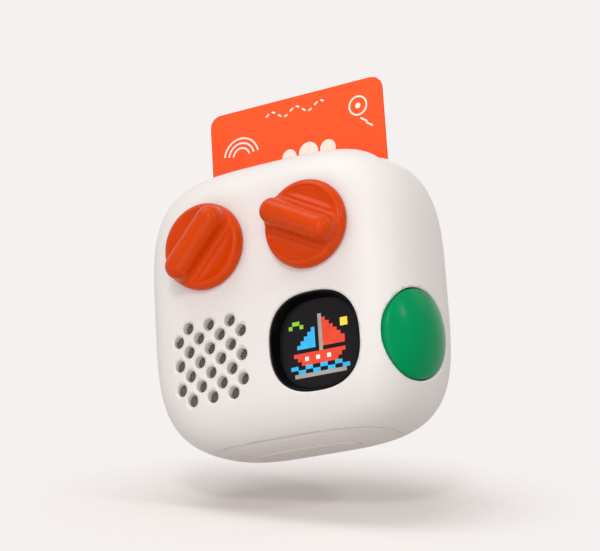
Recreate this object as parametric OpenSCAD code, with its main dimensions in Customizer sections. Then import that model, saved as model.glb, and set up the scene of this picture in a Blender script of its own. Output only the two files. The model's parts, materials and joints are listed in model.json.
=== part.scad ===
// Audio story player for children: a soft-cornered housing with two dials, a recessed
// pixel display, a speaker grille, a side button and a top slot for a story card.
// Millimetres. X is to the right, Y to the back, Z up. The origin is the middle of the
// flat foot that the player stands on.

/* [Housing] */
// Overall width of the housing
body_w = 78; // [77.5:0.5:82]
// Height of the housing without the card
body_h = 78; // [77.5:0.5:82]
// Overall depth of the housing without the dials
body_d = 42; // [42:0.5:46]
// Squareness of the front outline: 2 is an ellipse, higher is squarer
outline_power = 3.9; // [3.8:0.1:4.4]
// Flatness of the front and back faces
face_power = 7; // [7:0.5:9]
// Fullness of the turn from the faces to the sides
edge_power = 2.45; // [2.4:0.05:2.7]
// Wall of the front, the sides and the back
wall = 2.2; // [2:0.1:2.3]
// Thickness of roof and floor at the middle
roof_t = 4.2; // [4:0.1:4.4]
// Height of the seam between housing and base cover
base_seam_z = 2.05; // [1.9:0.05:2.3]
// Distance of the rear cover's seam behind mid-depth
rear_seam_y = 14.5; // [14.2:0.1:15]
// Radius of the screw bosses that stand on the front wall
boss_r = 2.2; // [2:0.1:2.3]

/* [Top trough and slot] */
// Half length of the soft trough in front of the slot
trough_half_l = 33.4; // [32.4:0.2:35]
// Front lip of the trough, measured from mid-depth
trough_front_y = -9.5; // [-11:0.1:-8]
// Rear lip of the trough, measured from mid-depth
trough_rear_y = 2; // [1:0.1:2.2]
// Corner radius of the trough seen from above
trough_corner_r = 3; // [2:0.5:4]
// Depth of the trough's floor under the highest point of the roof
trough_depth = 2.3; // [1.8:0.1:2.4]
// Depth of the trough at the sides, measured in from the widest outline
trough_side_depth = 2.5; // [2.2:0.1:2.7]

/* [Base] */
// Half length of the foot pad
foot_half_l = 15; // [14.5:0.5:18]
// Half depth of the foot pad
foot_half_d = 5.4; // [5:0.2:7]
// Thickness of the foot pad
foot_t = 0.6; // [0.5:0.05:0.8]
// Distance of the base cover screws from the middle
base_screw_x = 12; // [11.5:0.5:13]
// Half width of the service opening in the floor
hatch_half_w = 9; // [7:0.5:10]
// Half depth of the service opening in the floor
hatch_half_d = 6; // [5:0.5:7]

/* [Dials] */
// Distance of each dial from the middle
dial_x = 15.3; // [14.9:0.1:15.6]
// Height of the dials, as a share of the housing's height
dial_rise = 0.691; // [0.686:0.001:0.7]
// Radius of the dial disc
dial_r = 11.6; // [10.8:0.1:12]
// Thickness of the dial disc
dial_t = 2.8; // [2.6:0.1:3]
// Radius of the disc's round edge
dial_edge_r = 2; // [1.2:0.1:2.2]
// Height of the grip's crest above the underside of the disc
grip_h = 9.1; // [8.4:0.1:9.4]
// Radius of the grip's crest, which is half its width
grip_r = 3.5; // [3.3:0.1:3.7]
// Distance of the grip's end centres from the axis
grip_half_l = 7.4; // [6.5:0.1:7.6]
// Width of the fillet on each side of the grip
grip_fillet = 2.0; // [1.5:0.1:2.2]
// Depth of the two D-shaped hollows of the disc
dish_depth = 0.7; // [0.4:0.1:0.8]
// Gap between the disc and the front wall
dial_gap = 0.45; // [0.4:0.05:0.8]
// How far a dial can be pressed in
dial_travel = 0.25; // [0.2:0.05:0.25]
// Turn of the left grip, anticlockwise from level
left_turn = 47; // [0:1:180]
// Turn of the right grip, anticlockwise from level
right_turn = -28; // [-90:1:90]
// Radius of the dial shaft
shaft_r = 2; // [1.9:0.05:2.1]

/* [Encoders] */
// Width of an encoder's case
encoder_w = 11; // [10.5:0.1:11.4]
// Height of an encoder's case
encoder_h = 11.6; // [11:0.1:12]
// Depth of an encoder's case
encoder_d = 6.5; // [6.3:0.1:6.8]
// Radius of the threaded collar through the front wall
collar_r = 3.25; // [3.1:0.05:3.4]
// Radius of the rotor inside the case
rotor_r = 4.4; // [4.2:0.05:4.7]
// Thickness of the collar's nut
nut_t = 1.2; // [1:0.05:1.2]
// Thickness of the collar's washer
washer_t = 0.4; // [0.3:0.05:0.4]

/* [Display] */
// Distance of the display to the right of the middle, as a share of the housing's width
display_share = 0.186; // [0.183:0.001:0.19]
// Height of the middle of the display
display_z = 23.8; // [23.6:0.1:24.2]
// Half width of the display opening, as a share of the housing's width
display_half_share = 0.164; // [0.158:0.001:0.165]
// Squareness of the display opening
display_power = 2.5; // [2.3:0.1:2.7]
// Wall of the display cup
cup_wall = 1.15; // [1:0.05:1.3]
// Depth of the window's face behind the front of the housing
window_depth = 3.4; // [3.2:0.1:3.6]
// Thickness of the display window
window_t = 1; // [0.8:0.1:1.1]
// Number of pixels along each side of the picture
pixels = 16; // [12:1:16]
// Pitch of the pixels
pixel_pitch = 1.1; // [1.0:0.05:1.15]
// Depth of the pixel grid
pixel_grid_t = 2; // [1.6:0.1:2.1]

/* [Speaker] */
// Distance of the speaker to the left of the middle, as a share of the housing's width
speaker_share = 0.205; // [0.203:0.001:0.21]
// Height of the middle of the speaker
speaker_z = 23.8; // [23.6:0.1:24.2]
// Spacing of the grille holes along a row
grille_pitch = 6.35; // [5.8:0.05:6.5]
// Radius of the grille holes
grille_r = 1.6; // [1.2:0.05:1.7]
// Outer radius of the speaker, as a share of the housing's width
speaker_r_share = 0.168; // [0.164:0.001:0.169]
// Radius of the speaker's magnet
magnet_r = 7.5; // [7:0.1:8]
// Length of the speaker's magnet
magnet_l = 3.8; // [3.6:0.1:4.5]

/* [Story card] */
// Width of the card
card_w = 54; // [53:0.1:54.2]
// Length of the card
card_l = 85.6; // [84:0.1:87]
// Thickness of the card
card_t = 0.76; // [0.6:0.02:0.9]
// Corner radius of the card
card_r = 3.2; // [2:0.1:4]
// Distance of the card behind mid-depth
card_y = 4; // [3.8:0.1:4.2]
// Height of the card's lower edge when it is fully in
card_z = 14; // [13.8:0.1:14.2]
// Gap at each edge of the card inside its guide
card_side_gap = 0.4; // [0.3:0.05:0.4]
// Gap on each face of the card inside its guide
card_face_gap = 0.32; // [0.25:0.01:0.34]
// Depth of the card guide's mouth under the highest point of the roof
guide_sink = 9; // [8.7:0.1:11]

/* [Side button] */
// Distance of the button in front of mid-depth
button_y = -5.6; // [-5.8:0.1:-5]
// Height of the middle of the button
button_z = 24.3; // [24:0.1:24.6]
// Radius of the opening for the button
button_hole_r = 12; // [11.5:0.1:13]
// Gap between the button and its opening
button_gap = 0.3; // [0.2:0.05:0.4]
// Height of the button's dome above the housing's side
button_dome = 2; // [1:0.1:3]
// How far the button can be pressed
button_travel = 0.8; // [0.4:0.05:0.8]
// Radius of the button's stem
stem_r = 2.5; // [2.3:0.1:2.6]

/* [Boards and battery] */
// Thickness of the circuit boards
board_t = 1.2; // [1:0.1:1.3]
// Width of the control board behind the dials
control_w = 58; // [56:0.5:58.5]
// Height of the control board
control_h = 20; // [19.4:0.2:20.2]
// Length of the battery
battery_l = 44; // [40:0.5:44.5]
// Height of the main board's lower edge, as a share of the housing's height
main_rise = 0.5385; // [0.5375:0.0005:0.54]
// Height of the main board, as a share of the housing's height
main_share = 0.2436; // [0.24:0.0002:0.245]
// Thickness of the battery
battery_t = 7.6; // [6.5:0.1:7.8]
// Radius of the headphone plug's hole
jack_r = 1.8; // [1.75:0.01:1.85]

/* [Hidden] */
$fn = 48;

// Half sizes of the housing, outside and inside, and the height of its middle
hw = body_w / 2;
hd = body_d / 2;
hh = body_h / 2;
in_hw = hw - wall;
in_hd = hd - wall;
in_hh = hh - roof_t;
mid_z = hh;
dial_z = body_h * dial_rise;
display_x = body_w * display_share;
display_half = body_w * display_half_share;
speaker_x = body_w * speaker_share;
speaker_r = body_w * speaker_r_share;
guide_top_z = body_h - guide_sink;
past = 1;            // how far a cut runs past the face that it opens
snug = 0.03;         // gap of fixed fits, such as a screw in its boss
run = 0.05;          // radial gap of running fits
seat_in = 0.4;       // seats of flat pieces stand this far inside the front wall
ribbon_t = 0.15;     // flat cables
screw_r = 0.95;      // shank of the small screws
head_r = 1.8;        // head of the small screws
head_t = 1;
front_in = -in_hd;

// Display, from front to back
cup_seat = front_in + seat_in + 0.2;
window_y = -hd + window_depth;
window_back = window_y + window_t;
led_board_y = window_back + pixel_grid_t;
led_board_t = board_t - 0.2;
spacer_l = 2.7;
button_board_y = led_board_y + led_board_t + spacer_l;
cup_half = display_half - 0.15;
window_half = cup_half - 0.45;
cup_flange_half = display_half + 1;
post_half = display_half - 0.9;
post_r = 1.7;
display_board_half = post_half + 1.5;
board_corner = 7.2;

// Speaker, from front to back
speaker_seat = front_in + seat_in;
mesh_t = 0.25;
gasket_t = 0.75;
flange_t = 1;
gasket_y = speaker_seat + mesh_t;
flange_y = gasket_y + gasket_t;
flange_back = flange_y + flange_t;
basket_ring_y = flange_back + 3.2;
magnet_y = basket_ring_y + 0.8;
coil_r = 3.8;
coil_half_t = 0.2;
speaker_ear_r = speaker_r + 2.1;
speaker_ears = [45, 135, -45];
ear_pad_r = 2.2;
terminal_w = 5;
terminal_to = speaker_r - 0.4;
terminal_from = terminal_to - 2.2;
lead_r = 0.45;

// Dials and encoders
dial_base_y = -hd - dial_gap;
knob_cavity_r = 7.2;
nut_top = washer_t + nut_t;
knob_cavity_d = nut_top - dial_gap + dial_travel + 0.25;
encoder_back = front_in + encoder_d;
rotor_front = front_in + 1.2;
rotor_back = encoder_back - 1.6;
rotor_room_back = encoder_back - 1;
shaft_depth_in_knob = grip_h - 3;
shaft_flat = shaft_r * 0.75;
control_z = dial_z - 0.2;
control_boss_x = control_w / 2 - 3;
control_boss_z = control_h / 2 - 2.5;
control_back = encoder_back + board_t;

// Card guide
guide_side = 1.2;
guide_wall = 1;
guide_in_w = card_w / 2 + card_side_gap;
guide_w = guide_in_w + guide_side;
guide_in_t = card_t / 2 + card_face_gap;
guide_front = card_y - guide_in_t - guide_wall;
guide_back = card_y + guide_in_t + guide_wall;
guide_floor_z = card_z - 0.2;
guide_bottom_z = guide_floor_z - 1.2;
ear_r = 1.8;
ear_t = 2;
guide_ears_top = guide_w + ear_r + 0.9;
guide_ear_z = dial_z + 5.8;
guide_ears_low = 22;
guide_low_z = roof_t + 4.6;
slot_gap = 0.47;

// Side button
button_r = button_hole_r - button_gap;
pocket_wall = 1.2;
pocket_x = hw * 0.7436;
pocket_floor = pocket_x + pocket_wall;
pocket_end = pocket_x + 5.6;
button_back = pocket_floor + button_travel + 0.5;
guide_tube_l = 3.5;
guide_tube_r = stem_r + 1.5;
stem_end = pocket_x - guide_tube_l - 2;
clip_t = 0.6;
clip_x = pocket_x - guide_tube_l - 0.1 - clip_t;
clip_groove_r = stem_r - 0.6;
plunger_r = 1.7;
plunger_l = 4.5;
switch_front = stem_end - 2.9;
switch_l = 3.6;

// Rear compartment
pin_r = 1;
reader_t = 0.8;
reader_w = 45;
reader_low_z = guide_bottom_z + 3.4;
main_low_z = body_h * main_rise;
reader_high_z = main_low_z + 0.4;
pin_x = 19;
tray_y = guide_back + 1.7;
tray_t = 1;
tray_gap = 0.4;
pad_t = 0.3;
battery_y = tray_y + tray_t + pad_t;
battery_z = (guide_bottom_z + main_low_z - 0.6) / 2;
battery_h = main_low_z - guide_bottom_z - 5.4;
tray_boss_x = battery_l / 2 + tray_gap + tray_t + ear_r + 0.4;
tray_boss_z = 9.5;
main_y = guide_back + 5.1;
main_left = -(in_hw - 5.3);
main_right = in_hw - 9.3;
main_h = body_h * main_share;
main_back = main_y + board_t;
main_boss_left = -18;
main_boss_right = main_right - 2.5;
port_z = main_low_z + 5;
port_t = 3.2;
port_w = 8.9;
port_y = main_y - port_t / 2;
jack_z = main_low_z + main_h - 4;
jack_body = 5;
jack_y = main_y - jack_body / 2;
jack_l = 12;

// Rear cover and its screws
rear_screw_x = 16;
rear_screw_dz = in_hh * ring_share(rear_seam_y, in_hd) - 3.05;
rear_column_r = 2.4;
rear_boss_y = guide_back + 0.8;
rear_joint_y = rear_seam_y - 2.1;
rear_seat_y = rear_seam_y + 2.1;
rear_shank_r = 1;
rear_head_r = 2;
rear_head_t = 1.4;
rear_shank_l = 8;
lip_gap = 0.2;
lip_t = 1.2;
lip_y = rear_seam_y - 1.8;
lip_back = rear_seam_y + 1.7;

// ---------- shapes ----------

// A power that keeps the sign
function signed_pow(v, e) = sign(v) * pow(abs(v), e);

// Share of the full outline that is left at depth y
function ring_share(y, half_d) =
  pow(1 - pow(min(abs(y) / half_d, 1), edge_power), 1 / face_power);

// Share of the outline on which a point of the front lies
function point_share(x, z, half_w, half_h) =
  pow(pow(abs(x / half_w), outline_power) + pow(abs(z / half_h), outline_power),
      1 / outline_power);

// Depth of the face at a point of the front
function face_depth(x, z, half_w, half_h, half_d) =
  half_d * pow(max(1 - pow(point_share(x, z, half_w, half_h), face_power), 0), 1 / edge_power);

// Inside of the front wall at a point
function inner_front(x, z) = -face_depth(x, z - mid_z, in_hw, in_hh, in_hd);

// Outside of the right-hand wall at a point
function side_x(y, z) =
  hw * pow(max(pow(ring_share(y, hd), outline_power)
               - pow(abs(z - mid_z) / hh, outline_power), 0), 1 / outline_power);

// Outline of a squared-off ellipse
function soft_square(half_w, half_h, power, steps) = [
  for (i = [0:steps - 1]) let (a = 360 * i / steps)
    [half_w * signed_pow(cos(a), 2 / power), half_h * signed_pow(sin(a), 2 / power)]
];

// Outline of a rectangle with round corners
function round_rect(w, h, r, steps = 5) = [
  for (corner = [[1, 1, 0], [-1, 1, 90], [-1, -1, 180], [1, -1, 270]], i = [0:steps])
    let (a = corner[2] + 90 * i / steps)
      [corner[0] * (w / 2 - r) + r * cos(a), corner[1] * (h / 2 - r) + r * sin(a)]
];

// Angles of the rings from the front (-90) to the back (90), closer together near the poles
ring_angles = [-86, -80, -72, -60, -48, -36, -24, -12, 0, 12, 24, 36, 48, 60, 72, 80, 86];
coarse_angles = [-86, -77, -65, -50, -34, -17, 0, 17, 34, 50, 65, 77, 86];

// The housing's pillow form between two depths. A ring at angle b has share cos(b) and
// depth sin(b), each raised to its power. A depth past the half depth closes in a pole.
module pillow(half_w, half_d, half_h, y_from, y_to, steps, angles) {
  b_from = y_from <= -half_d ? -90 : asin(signed_pow(y_from / half_d, edge_power / 2));
  b_to = y_to >= half_d ? 90 : asin(signed_pow(y_to / half_d, edge_power / 2));
  inner = [for (b = angles) if (b > b_from + 2 && b < b_to - 2) b];
  bs = concat(b_from > -90 ? [b_from] : [], inner, b_to < 90 ? [b_to] : []);
  count = len(bs);
  rings = [
    for (b = bs) let (s = pow(cos(b), 2 / face_power), y = half_d * signed_pow(sin(b), 2 / edge_power))
      for (p = soft_square(half_w * s, half_h * s, outline_power, steps)) [p[0], y, p[1]]
  ];
  front = count * steps;
  back = front + 1;
  points = concat(rings, [[0, half_d * signed_pow(sin(b_from), 2 / edge_power), 0],
                          [0, half_d * signed_pow(sin(b_to), 2 / edge_power), 0]]);
  walls = [
    for (i = [0:count - 2], j = [0:steps - 1])
      let (k = (j + 1) % steps, a = i * steps + j, b = i * steps + k, c = a + steps, d = b + steps)
        each [[a, b, d], [a, d, c]]
  ];
  front_fan = [for (j = [0:steps - 1]) [front, (j + 1) % steps, j]];
  back_fan = [for (j = [0:steps - 1]) [back, (count - 1) * steps + j, (count - 1) * steps + (j + 1) % steps]];
  translate([0, 0, mid_z]) polyhedron(points, concat(walls, front_fan, back_fan));
}

// Outside of the housing between two depths
module outer_form(y_from, y_to) { pillow(hw, hd, hh, y_from, y_to, 64, ring_angles); }

// Inside of the housing between two depths
module inner_form(y_from, y_to) { pillow(in_hw, in_hd, in_hh, y_from, y_to, 48, coarse_angles); }

// A flat shape in the X-Z plane, thickened from y_from to y_to
module slab(x, z, y_from, y_to) {
  translate([x, y_to, z]) rotate([90, 0, 0]) linear_extrude(y_to - y_from) children();
}

// Round bars along X, Y and Z
module bar_x(y, z, x_from, x_to, r) {
  translate([x_from, y, z]) rotate([0, 90, 0]) cylinder(h = x_to - x_from, r = r);
}

module bar_y(x, z, y_from, y_to, r) {
  translate([x, y_to, z]) rotate([90, 0, 0]) cylinder(h = y_to - y_from, r = r);
}

module bar_z(x, y, z_from, z_to, r) {
  translate([x, y, z_from]) cylinder(h = z_to - z_from, r = r);
}

// A block between two corners
module block(low, high) { translate(low) cube(high - low); }

// A pan-head screw with a cross recess. Its head stands on z = 0 and its shank goes down.
module screw(r, length, cap_r, cap_t) {
  difference() {
    union() {
      cylinder(h = cap_t, r = cap_r);
      translate([0, 0, -length]) cylinder(h = length, r = r);
    }
    for (turn = [0, 90]) rotate([0, 0, turn])
      translate([-cap_r * 0.62, -cap_r * 0.13, cap_t * 0.4]) cube([cap_r * 1.24, cap_r * 0.26, cap_t]);
  }
}

// A screw whose head faces the back, with the head's seat at y
module screw_to_front(x, z, y, length, r = screw_r, cap_r = head_r, cap_t = head_t) {
  translate([x, y, z]) rotate([-90, 0, 0]) screw(r, length, cap_r, cap_t);
}

// A boss that stands on the inside of the front wall and ends at y_to
module front_boss(x, z, y_to, r = boss_r) {
  bar_y(x, z, inner_front(x, z) - wall * 0.4, y_to, r);
}

function display_posts() = [
  for (s = [[-1, -1], [-1, 1], [1, 1]]) [display_x + s[0] * post_half, display_z + s[1] * post_half]
];
function control_bosses() = [for (sx = [-1, 1], sz = [-1, 1]) [sx * control_boss_x, control_z + sz * control_boss_z]];
function guide_bosses() = [for (sx = [-1, 1]) each [[sx * guide_ears_top, guide_ear_z], [sx * guide_ears_low, guide_low_z]]];
function rear_screw_points() = [for (sx = [-1, 1], sz = [-1, 1]) [sx * rear_screw_x, sz]];
function tray_bosses() = [for (sx = [-1, 1], sz = [-1, 1]) [sx * tray_boss_x, battery_z + sz * tray_boss_z]];
function main_bosses() = [for (x = [main_boss_left, main_boss_right], dz = [2.8, main_h - 2.8]) [x, main_low_z + dz]];
function ear_point(a) = [-speaker_x + speaker_ear_r * cos(a), speaker_z + speaker_ear_r * sin(a)];

// Hole positions of the grille: rows of three and four in turn
grille_points = [
  for (row = [-3:3]) let (odd = abs(row) % 2)
    for (i = [0:(odd ? 3 : 2)])
      [-speaker_x + (i - (odd ? 1.5 : 1)) * grille_pitch, speaker_z + row * grille_pitch / 2]
];

// ---------- casing ----------

// The trough's floor follows the roof; the block above it is cut away
module trough_cut() {
  depth = trough_rear_y - trough_front_y;
  difference() {
    translate([0, (trough_front_y + trough_rear_y) / 2, mid_z + hh * 0.4])
      linear_extrude(hh) polygon(round_rect(2 * trough_half_l, depth, trough_corner_r));
    slab(0, mid_z, trough_front_y - past, trough_rear_y + past)
      polygon(soft_square(hw - trough_side_depth, hh - trough_depth, outline_power, 64));
  }
}

module housing_bosses() {
  for (p = display_posts()) front_boss(p[0], p[1], led_board_y, post_r);
  for (p = control_bosses()) front_boss(p[0], p[1], encoder_back);
  for (p = guide_bosses()) front_boss(p[0], p[1], guide_front, boss_r - 0.2);
  for (a = speaker_ears) front_boss(ear_point(a)[0], ear_point(a)[1], flange_y, boss_r - 0.1);
  for (p = rear_screw_points()) {
    z = mid_z + p[1] * rear_screw_dz;
    tip = mid_z + p[1] * (in_hh - 0.8);
    bar_y(p[0], z, rear_boss_y, rear_joint_y, rear_column_r - 0.2);
    block([p[0] - 1.4, rear_boss_y, min(z, tip)], [p[0] + 1.4, rear_joint_y, max(z, tip)]);
  }
  for (sx = [-1, 1]) bar_z(sx * base_screw_x, 0, roof_t - 0.6, roof_t + 3.8, boss_r);
}

// Disc, tube and half ring behind the side button
module button_pocket() {
  bar_x(button_y, button_z, pocket_x, pocket_floor, button_hole_r + pocket_wall);
  bar_x(button_y, button_z, pocket_x - guide_tube_l, pocket_floor, guide_tube_r);
  intersection() {
    bar_x(button_y, button_z, pocket_x, pocket_end, button_hole_r + pocket_wall);
    block([pocket_x, button_y - 7, 0], [hw, hd, body_h]);
  }
}

module housing_pilots() {
  for (p = display_posts()) bar_y(p[0], p[1], led_board_y - 3, led_board_y + past, screw_r + snug);
  for (p = control_bosses()) bar_y(p[0], p[1], encoder_back - 4.5, encoder_back + past, screw_r + snug);
  for (p = guide_bosses()) bar_y(p[0], p[1], guide_front - 7, guide_front + past, screw_r + snug);
  for (a = speaker_ears)
    bar_y(ear_point(a)[0], ear_point(a)[1], flange_y - 2.4, flange_y + past, screw_r + snug);
  for (p = rear_screw_points())
    bar_y(p[0], mid_z + p[1] * rear_screw_dz, rear_seat_y - rear_shank_l - 0.3, rear_joint_y + past,
          rear_shank_r + snug);
  for (sx = [-1, 1]) bar_z(sx * base_screw_x, 0, base_seam_z - past, roof_t + 3, screw_r + snug);
}

module main_housing() {
  color([0.94, 0.92, 0.89]) difference() {
    union() {
      difference() {
        outer_form(-hd - past, rear_seam_y);
        inner_form(-in_hd - past, rear_seam_y + past);
      }
      slab(display_x, display_z, front_in - wall * 0.4, cup_seat)
        polygon(soft_square(cup_flange_half + 0.2, cup_flange_half + 0.2, display_power, 48));
      bar_y(-speaker_x, speaker_z, front_in - wall * 0.4, speaker_seat, speaker_r + 0.2);
      housing_bosses();
      button_pocket();
    }
    block([-hw - past, -hd - past, -past], [hw + past, hd + past, base_seam_z]);
    trough_cut();
    block([-card_w / 2 - card_side_gap - 0.2, card_y - card_t / 2 - slot_gap, mid_z + hh * 0.6],
          [card_w / 2 + card_side_gap + 0.2, card_y + card_t / 2 + slot_gap, body_h + past]);
    for (p = grille_points) bar_y(p[0], p[1], -hd - past, speaker_seat + past, grille_r);
    bar_y(-speaker_x, speaker_z, speaker_seat, flange_back + 0.4, speaker_r + 0.2);
    for (a = speaker_ears)
      bar_y(ear_point(a)[0], ear_point(a)[1], flange_y, flange_back + 0.4, ear_pad_r + 0.2);
    slab(display_x, display_z, -hd - past, cup_seat + past)
      polygon(soft_square(display_half, display_half, display_power, 48));
    slab(display_x, display_z, cup_seat, cup_seat + 2.2)
      polygon(soft_square(cup_flange_half + 0.2, cup_flange_half + 0.2, display_power, 48));
    for (sx = [-1, 1]) {
      bar_y(sx * dial_x, dial_z, -hd - past, front_in + past, collar_r + 0.1);
      block([sx * dial_x - encoder_w / 2 - 0.3, front_in, dial_z - encoder_h / 2 - 0.3],
            [sx * dial_x + encoder_w / 2 + 0.3, front_in + 1.5, dial_z + encoder_h / 2 + 0.3]);
    }
    bar_x(button_y, button_z, pocket_floor, hw + past, button_hole_r);
    bar_x(button_y, button_z, pocket_x - guide_tube_l - past, pocket_floor + past, stem_r + run);
    slab(0, 0, -hatch_half_d, hatch_half_d) square([2 * hatch_half_w, 2 * (roof_t + past)], center = true);
    translate([-hw - past, port_y, port_z]) rotate([90, 0, 90])
      linear_extrude(hw - in_hw + 6) polygon(round_rect(port_t + 0.3, port_w + 0.3, port_t / 2, 6));
    bar_x(jack_y, jack_z, -hw - past, -in_hw + 5, jack_body / 2 - 0.2 + snug);
    housing_pilots();
  }
}

// Outline of the rear cover's lip
module lip_outline(inset) {
  s = ring_share(rear_seam_y, in_hd);
  polygon(soft_square(in_hw * s - inset, in_hh * s - inset, outline_power, 48));
}

module rear_cover() {
  color([0.94, 0.92, 0.89]) difference() {
    union() {
      difference() {
        outer_form(rear_seam_y, hd + past);
        inner_form(rear_seam_y - past, in_hd + past);
      }
      slab(0, mid_z, lip_y, lip_back) difference() {
        lip_outline(lip_gap);
        lip_outline(lip_gap + lip_t);
      }
      for (p = rear_screw_points())
        bar_y(p[0], mid_z + p[1] * rear_screw_dz, rear_joint_y, in_hd - 0.4, rear_column_r);
    }
    for (p = rear_screw_points()) {
      z = mid_z + p[1] * rear_screw_dz;
      bar_y(p[0], z, rear_seat_y, hd + past, rear_head_r + 0.3);
      bar_y(p[0], z, rear_joint_y - past, rear_seat_y + past, rear_shank_r + 0.15);
    }
  }
}

module foot_outline(grow) { polygon(soft_square(foot_half_l + grow, foot_half_d + grow, 2.8, 48)); }

module base_cover() {
  rim = 0.2;
  color([0.93, 0.91, 0.88]) difference() {
    union() {
      intersection() {
        outer_form(-hd - past, hd + past);
        block([-hw, -hd, -past], [hw, hd, base_seam_z]);
      }
      difference() {
        block([-hatch_half_w + rim, -hatch_half_d + rim, base_seam_z - 0.4],
              [hatch_half_w - rim, hatch_half_d - rim, base_seam_z + 1.4]);
        block([-hatch_half_w + 1.4, -hatch_half_d + 1.4, base_seam_z],
              [hatch_half_w - 1.4, hatch_half_d - 1.4, base_seam_z + 2]);
      }
    }
    translate([0, 0, -past]) linear_extrude(foot_t + past) foot_outline(0.05);
    for (sx = [-1, 1]) {
      bar_z(sx * base_screw_x, 0, foot_t - past, foot_t + 0.6, head_r + 0.1);
      bar_z(sx * base_screw_x, 0, foot_t, base_seam_z + past, screw_r + 0.1);
    }
  }
}

module base_foot() {
  color([0.90, 0.88, 0.85]) difference() {
    linear_extrude(foot_t) foot_outline(0);
    for (sx = [-1, 1]) bar_z(sx * base_screw_x, 0, foot_t - 0.2, foot_t + past, 0.6);
  }
}

module rear_screws() {
  color([0.72, 0.72, 0.74])
    for (p = rear_screw_points())
      screw_to_front(p[0], mid_z + p[1] * rear_screw_dz, rear_seat_y, rear_shank_l, rear_shank_r,
                     rear_head_r, rear_head_t);
}

module base_screws() {
  color([0.72, 0.72, 0.74])
    for (sx = [-1, 1])
      translate([sx * base_screw_x, 0, foot_t + 0.6]) rotate([180, 0, 0]) screw(screw_r, 5, head_r, 0.55);
}

// ---------- display ----------

module display_cup() {
  color([0.05, 0.05, 0.06]) difference() {
    union() {
      intersection() {
        slab(display_x, display_z, -hd - past, window_back)
          polygon(soft_square(cup_half, cup_half, display_power, 48));
        pillow(hw - 0.15, hd - 0.15, hh - 0.15, -hd, -hd * 0.6, 64, ring_angles);
      }
      slab(display_x, display_z, cup_seat, window_back)
        polygon(soft_square(cup_flange_half, cup_flange_half, display_power, 48));
    }
    slab(display_x, display_z, -hd - past, window_back + past)
      polygon(soft_square(cup_half - cup_wall, cup_half - cup_wall, display_power, 48));
    slab(display_x, display_z, window_y, window_back + past)
      polygon(soft_square(window_half + snug, window_half + snug, display_power, 48));
  }
}

module display_window() {
  color([0.10, 0.09, 0.10, 0.9]) slab(display_x, display_z, window_y, window_back)
    polygon(soft_square(window_half, window_half, display_power, 48));
}

module pixel_grid() {
  span = pixels * pixel_pitch;
  wall_t = 0.2;
  color([0.12, 0.12, 0.13]) slab(display_x, display_z, window_back, led_board_y) difference() {
    square(span + 2, center = true);
    for (i = [0:pixels - 1], j = [0:pixels - 1])
      translate([(i + 0.5) * pixel_pitch - span / 2, (j + 0.5) * pixel_pitch - span / 2])
        square(pixel_pitch - wall_t, center = true);
  }
}

// A square board with a hole at each display post and one corner cut off beside the wall
module display_board(y, t) {
  h = display_board_half;
  difference() {
    slab(display_x, display_z, y, y + t)
      polygon([[-h, -h], [h - board_corner, -h], [h, board_corner - h], [h, h], [-h, h]]);
    for (p = display_posts()) bar_y(p[0], p[1], y - past, y + t + past, screw_r + 0.1);
  }
}

module led_board() { color([0.10, 0.32, 0.20]) display_board(led_board_y, led_board_t); }

module board_spacers() {
  color([0.80, 0.80, 0.78])
    for (p = display_posts()) difference() {
      bar_y(p[0], p[1], led_board_y + led_board_t, button_board_y, 1.5);
      bar_y(p[0], p[1], led_board_y, button_board_y + past, screw_r + snug);
    }
}

module display_screws() {
  seat = button_board_y + led_board_t;
  color([0.72, 0.72, 0.74])
    for (p = display_posts()) screw_to_front(p[0], p[1], seat, seat - led_board_y + 2.5, screw_r, 1.5);
}

// A flat cable drawn as its side view and carried across its width
module ribbon_x(x_from, x_to, route) {
  color([0.76, 0.55, 0.25]) translate([x_from, 0, 0]) rotate([90, 0, 90])
    linear_extrude(x_to - x_from)
      polygon(concat(route, [for (i = [len(route) - 1:-1:0]) [route[i][0] + ribbon_t, route[i][1]]]));
}

module display_ribbon() {
  low = led_board_y + led_board_t;
  high = encoder_back - ribbon_t;
  bottom = display_z + 9.5;
  ribbon_x(display_x - 4, display_x + 4,
           [[low, bottom], [low, display_z + display_board_half + 1], [high, control_z - control_h / 2 + 0.5],
            [high, dial_z - encoder_h / 2 - 0.4]]);
}

// ---------- speaker ----------

module speaker_mesh() {
  color([0.20, 0.20, 0.20]) bar_y(-speaker_x, speaker_z, speaker_seat, gasket_y, speaker_r);
}

// A ring about the speaker's axis, from its profile of [radius, depth] points
module speaker_turn(profile) {
  translate([-speaker_x, 0, speaker_z]) rotate([-90, 0, 0]) rotate_extrude() polygon(profile);
}

module speaker_gasket() {
  inner = speaker_r - 1.9;
  color([0.15, 0.15, 0.16])
    speaker_turn([[inner, gasket_y], [speaker_r, gasket_y], [speaker_r, flange_y], [inner, flange_y]]);
}

module speaker_basket() {
  hole = speaker_r - 2.7;
  ring_out = magnet_r + 0.5;
  color([0.35, 0.36, 0.38]) difference() {
    union() {
      speaker_turn([[hole, flange_y], [speaker_r, flange_y], [speaker_r, flange_back],
                    [speaker_r - 0.6, flange_back], [ring_out, basket_ring_y], [ring_out, magnet_y],
                    [coil_r + 0.8, magnet_y], [coil_r + 0.8, basket_ring_y], [ring_out - 0.8, basket_ring_y],
                    [hole, flange_back]]);
      for (a = speaker_ears)
        bar_y(ear_point(a)[0], ear_point(a)[1], flange_y, flange_back, ear_pad_r);
      block([-speaker_x - terminal_w / 2, flange_back - 0.2, speaker_z + terminal_from],
            [-speaker_x + terminal_w / 2, encoder_back + board_t, speaker_z + terminal_to]);
    }
    for (a = speaker_ears)
      bar_y(ear_point(a)[0], ear_point(a)[1], flange_y - past, flange_back + past, screw_r + 0.1);
    bar_y(-speaker_x, speaker_z, flange_y - past, flange_back, hole);
  }
}

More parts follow.
